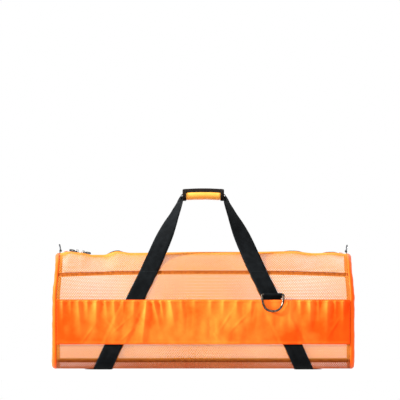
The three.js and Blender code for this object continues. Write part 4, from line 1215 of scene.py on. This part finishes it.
black_cast = plastic_material("black_enamelled_zinc", "#15171a", "#2b2d30", 0.3)
bright_wire = metal_material("bright_wire", "#8d9193", "#d5d8d9", 0.2)
pull_plastic = plastic_material("moulded_pull", "#0d0e10", "#26282b", 0.45)
slider("left", -1)
slider("right", 1)

# Stitching.
# Polyester thread in rows of short spans, each sunk at both ends: orange through the band's hems,
# and black where the webbing is sewn down and round the grip's binding.
STITCH_LONG = 0.0026
STITCH_PITCH = 0.0034
THREAD = 0.00032
LEG_STITCH_OUT = 0.0225
STITCH_SIDES = 6

# A stitch's loops: place along it, thickness and height, as shares of its length and thread
STITCH_LOOPS = [(-0.5, 0.5, -1.2), (-0.3, 1.0, 0.1), (0.3, 1.0, 0.1), (0.5, 0.5, -1.2)]


def stitch_row(line, outward, pitch=STITCH_PITCH, length=STITCH_LONG):
    """Thread spans laid end to end along a line of points, standing out a thread's thickness."""
    line, outward = np.asarray(line, float), np.asarray(outward, float)
    step = np.concatenate([[0], np.cumsum(np.linalg.norm(np.diff(line, axis=0), axis=1))])
    at = np.arange(pitch / 2, step[-1] - pitch / 2, pitch)

    def read(values, where):
        return np.stack([np.interp(where, step, values[:, k]) for k in range(3)], axis=1)

    centre, out = read(line, at), read(outward, at)
    along = read(line, at + length / 2) - read(line, at - length / 2)
    along /= np.linalg.norm(along, axis=1, keepdims=True)
    out = out - along * np.sum(out * along, axis=1, keepdims=True)
    out /= np.linalg.norm(out, axis=1, keepdims=True)
    across = np.cross(along, out)
    a = np.linspace(0, 2 * math.pi, STITCH_SIDES, endpoint=False)
    rings = []
    for far, thick, high in STITCH_LOOPS:
        rise = THREAD * (high + thick * np.sin(a)[:, None])
        reach = THREAD * thick * np.cos(a)[:, None]
        middle = centre[:, None] + along[:, None] * far * length
        rings.append(middle + out[:, None] * rise + across[:, None] * reach)
    points = np.stack(rings, axis=1).reshape(-1, 3)
    k, j = np.meshgrid(np.arange(len(rings) - 1), np.arange(STITCH_SIDES), indexing="ij")
    here, after, beside = k * STITCH_SIDES, (k + 1) * STITCH_SIDES, (j + 1) % STITCH_SIDES
    one = np.stack([here + j, here + beside, after + beside, after + j], axis=-1).reshape(1, -1, 4)
    faces = (np.arange(len(at))[:, None, None] * len(rings) * STITCH_SIDES + one).reshape(-1, 4)
    return points, faces


def skin_row(x, turn, off):
    """A line of places on the bag with the direction out from it."""
    x, turn = np.broadcast_arrays(np.asarray(x, float), np.asarray(turn, float))
    low = skin(x, turn, off)
    return low, skin(x, turn, off + 0.001) - low


def band_stitches(name, side, folds, seed):
    rows = []
    for share in (HEM_STITCH / BAND_TALL, 1 - HEM_STITCH / BAND_TALL):
        x = np.linspace(-HALF + 0.004, HALF - 0.004, 900)
        turn = np.full(900, BAND_LOW + (BAND_HIGH - BAND_LOW) * share)
        rows.append(stitch_row(*skin_row(x, side * turn, band_off(x, turn, folds, seed) + BAND_WALL)))
    points, faces = join(rows)
    new_piece(name, points, faces, orange_thread, slot="nylon")


def leg_stitches(name, face):
    rows = []
    for side in (-1, 1):
        for start, stop in ((1.1, BAND_LOW - 0.02), (BAND_HIGH + 0.02, LEAVE_TURN - 0.03)):
            turn = np.linspace(start, stop, 80)
            for across in (-LEG_STITCH_OUT, LEG_STITCH_OUT):
                x = side * (leg_x(turn) + across)
                rows.append(stitch_row(*skin_row(x, -face * turn, CLEAR + WEB_THICK)))
        turn = np.full(20, LEAVE_TURN - 0.04)
        x = side * (leg_x(turn) + np.linspace(-LEG_STITCH_OUT, LEG_STITCH_OUT, 20))
        rows.append(stitch_row(*skin_row(x, -face * turn, CLEAR + WEB_THICK)))
    points, faces = join(rows)
    new_piece(name, points, faces, black_thread, slot="webbing")


def grip_stitches():
    rows = []
    middle = np.array([0, MIDDLE_Y, GRIP_CENTRE])
    for side in (-1, 1):
        loop = grip_row(side * (GRIP_LENGTH / 2 - BINDING_WIDTH + 0.0022), BINDING_OVER + BINDING_WALL)
        rows.append(stitch_row(loop, loop - middle))
    outline = grip_outline(BINDING_OVER + BINDING_WALL)
    low = COVER_HALF_TALL + BINDING_WALL - BINDING_WIDTH + 0.0024
    for k in (np.argmin(np.abs(outline[:40, 1] - low)), 60 + np.argmin(np.abs(outline[60:, 1] - low))):
        x = np.linspace(-GRIP_LENGTH / 2 + BINDING_WIDTH, GRIP_LENGTH / 2 - BINDING_WIDTH, 30)
        line = np.array([grip_row(place, BINDING_OVER + BINDING_WALL)[k] for place in x])
        rows.append(stitch_row(line, line - middle * (0, 1, 1) - line * (1, 0, 0)))
    points, faces = join(rows)
    new_piece("grip_stitches", points, faces, black_thread, slot="webbing")


orange_thread = tape_cloth("orange_polyester_thread", "#e8630f", "#ff9440", 0.0004)
black_thread = tape_cloth("black_polyester_thread", "#17191b", "#3a3d40", 0.0004)
band_stitches("band_stitches_front", 1, FRONT_FOLDS, 3)
band_stitches("band_stitches_back", -1, BACK_FOLDS, 11)
leg_stitches("leg_stitches_front", -1)
leg_stitches("leg_stitches_back", 1)
grip_stitches()

# Floor, light and camera.
# A white sheet under even daylight, with a low sun from the left that draws the folds and a weak
# fill from the front, seen level from the front through a long lens.
PIXEL = 2.66 / 1000
PHOTO_SIDE = 400
BAG_MIDDLE_PX = 203.3
FLOOR_PX = 369.4
VIEW_WIDE = PHOTO_SIDE * PIXEL
CENTRE_X = (PHOTO_SIDE / 2 - BAG_MIDDLE_PX) * PIXEL
CENTRE_Z = (FLOOR_PX - PHOTO_SIDE / 2) * PIXEL
CAMERA_AWAY = 40.0
CAMERA_HIGH = 0.15
SENSOR = 36.0
FLOOR_HALF = 6.0
FILL_PLACE = (0.2, -1.2, 1.5)
FILL_TARGET = (0.05, 0, 0.2)
SUN_TOWARD = (0.89, 0.24, -0.40)

paper, tree = new_material("white_paper")
finish_material(tree, add_node(tree, "ShaderNodeBsdfPrincipled", {
    "Base Color": linear("#828282"), "Roughness": 0.9, "Specular IOR Level": 0.0,
    "Emission Color": linear("#ffffff"), "Emission Strength": 0.72,
}))
mesh = bpy.data.meshes.new("floor")
corners = [(FLOOR_HALF * x, FLOOR_HALF * y, 0) for x, y in ((-1, -1), (1, -1), (1, 1), (-1, 1))]
mesh.from_pydata(corners, [], [(0, 1, 2, 3)])
mesh.materials.append(paper)
floor = bpy.data.objects.new("floor", mesh)
bpy.context.scene.collection.objects.link(floor)

world = bpy.data.worlds.new("daylight")
world.use_nodes = True
world.node_tree.nodes["Background"].inputs["Color"].default_value = (1.0, 1.0, 1.0, 1.0)
world.node_tree.nodes["Background"].inputs["Strength"].default_value = 1.0
bpy.context.scene.world = world
bpy.context.scene.view_settings.view_transform = "Standard"


def soft_light(name, place, target, size, power):
    light = bpy.data.lights.new(name, "AREA")
    light.shape = "DISK"
    light.size = size
    light.energy = power
    lamp = bpy.data.objects.new(name, light)
    lamp.location = place
    lamp.rotation_euler = (Vector(target) - Vector(place)).to_track_quat("-Z", "Y").to_euler()
    bpy.context.scene.collection.objects.link(lamp)


soft_light("fill", FILL_PLACE, FILL_TARGET, 0.5, 6)
sun = bpy.data.lights.new("sun", "SUN")
sun.energy = 9.5
sun.angle = math.radians(9)
lamp = bpy.data.objects.new("sun", sun)
lamp.rotation_euler = Vector(SUN_TOWARD).to_track_quat("-Z", "Y").to_euler()
bpy.context.scene.collection.objects.link(lamp)

lens = bpy.data.cameras.new("camera")
lens.sensor_width = SENSOR
lens.lens = SENSOR * CAMERA_AWAY / VIEW_WIDE
lens.clip_end = 60.0
lens.shift_y = (CENTRE_Z - CAMERA_HIGH) / VIEW_WIDE
camera = bpy.data.objects.new("camera", lens)
camera.location = (CENTRE_X, -CAMERA_AWAY, CAMERA_HIGH)
camera.rotation_euler = (math.pi / 2, 0, 0)
bpy.context.scene.collection.objects.link(camera)
bpy.context.scene.camera = camera
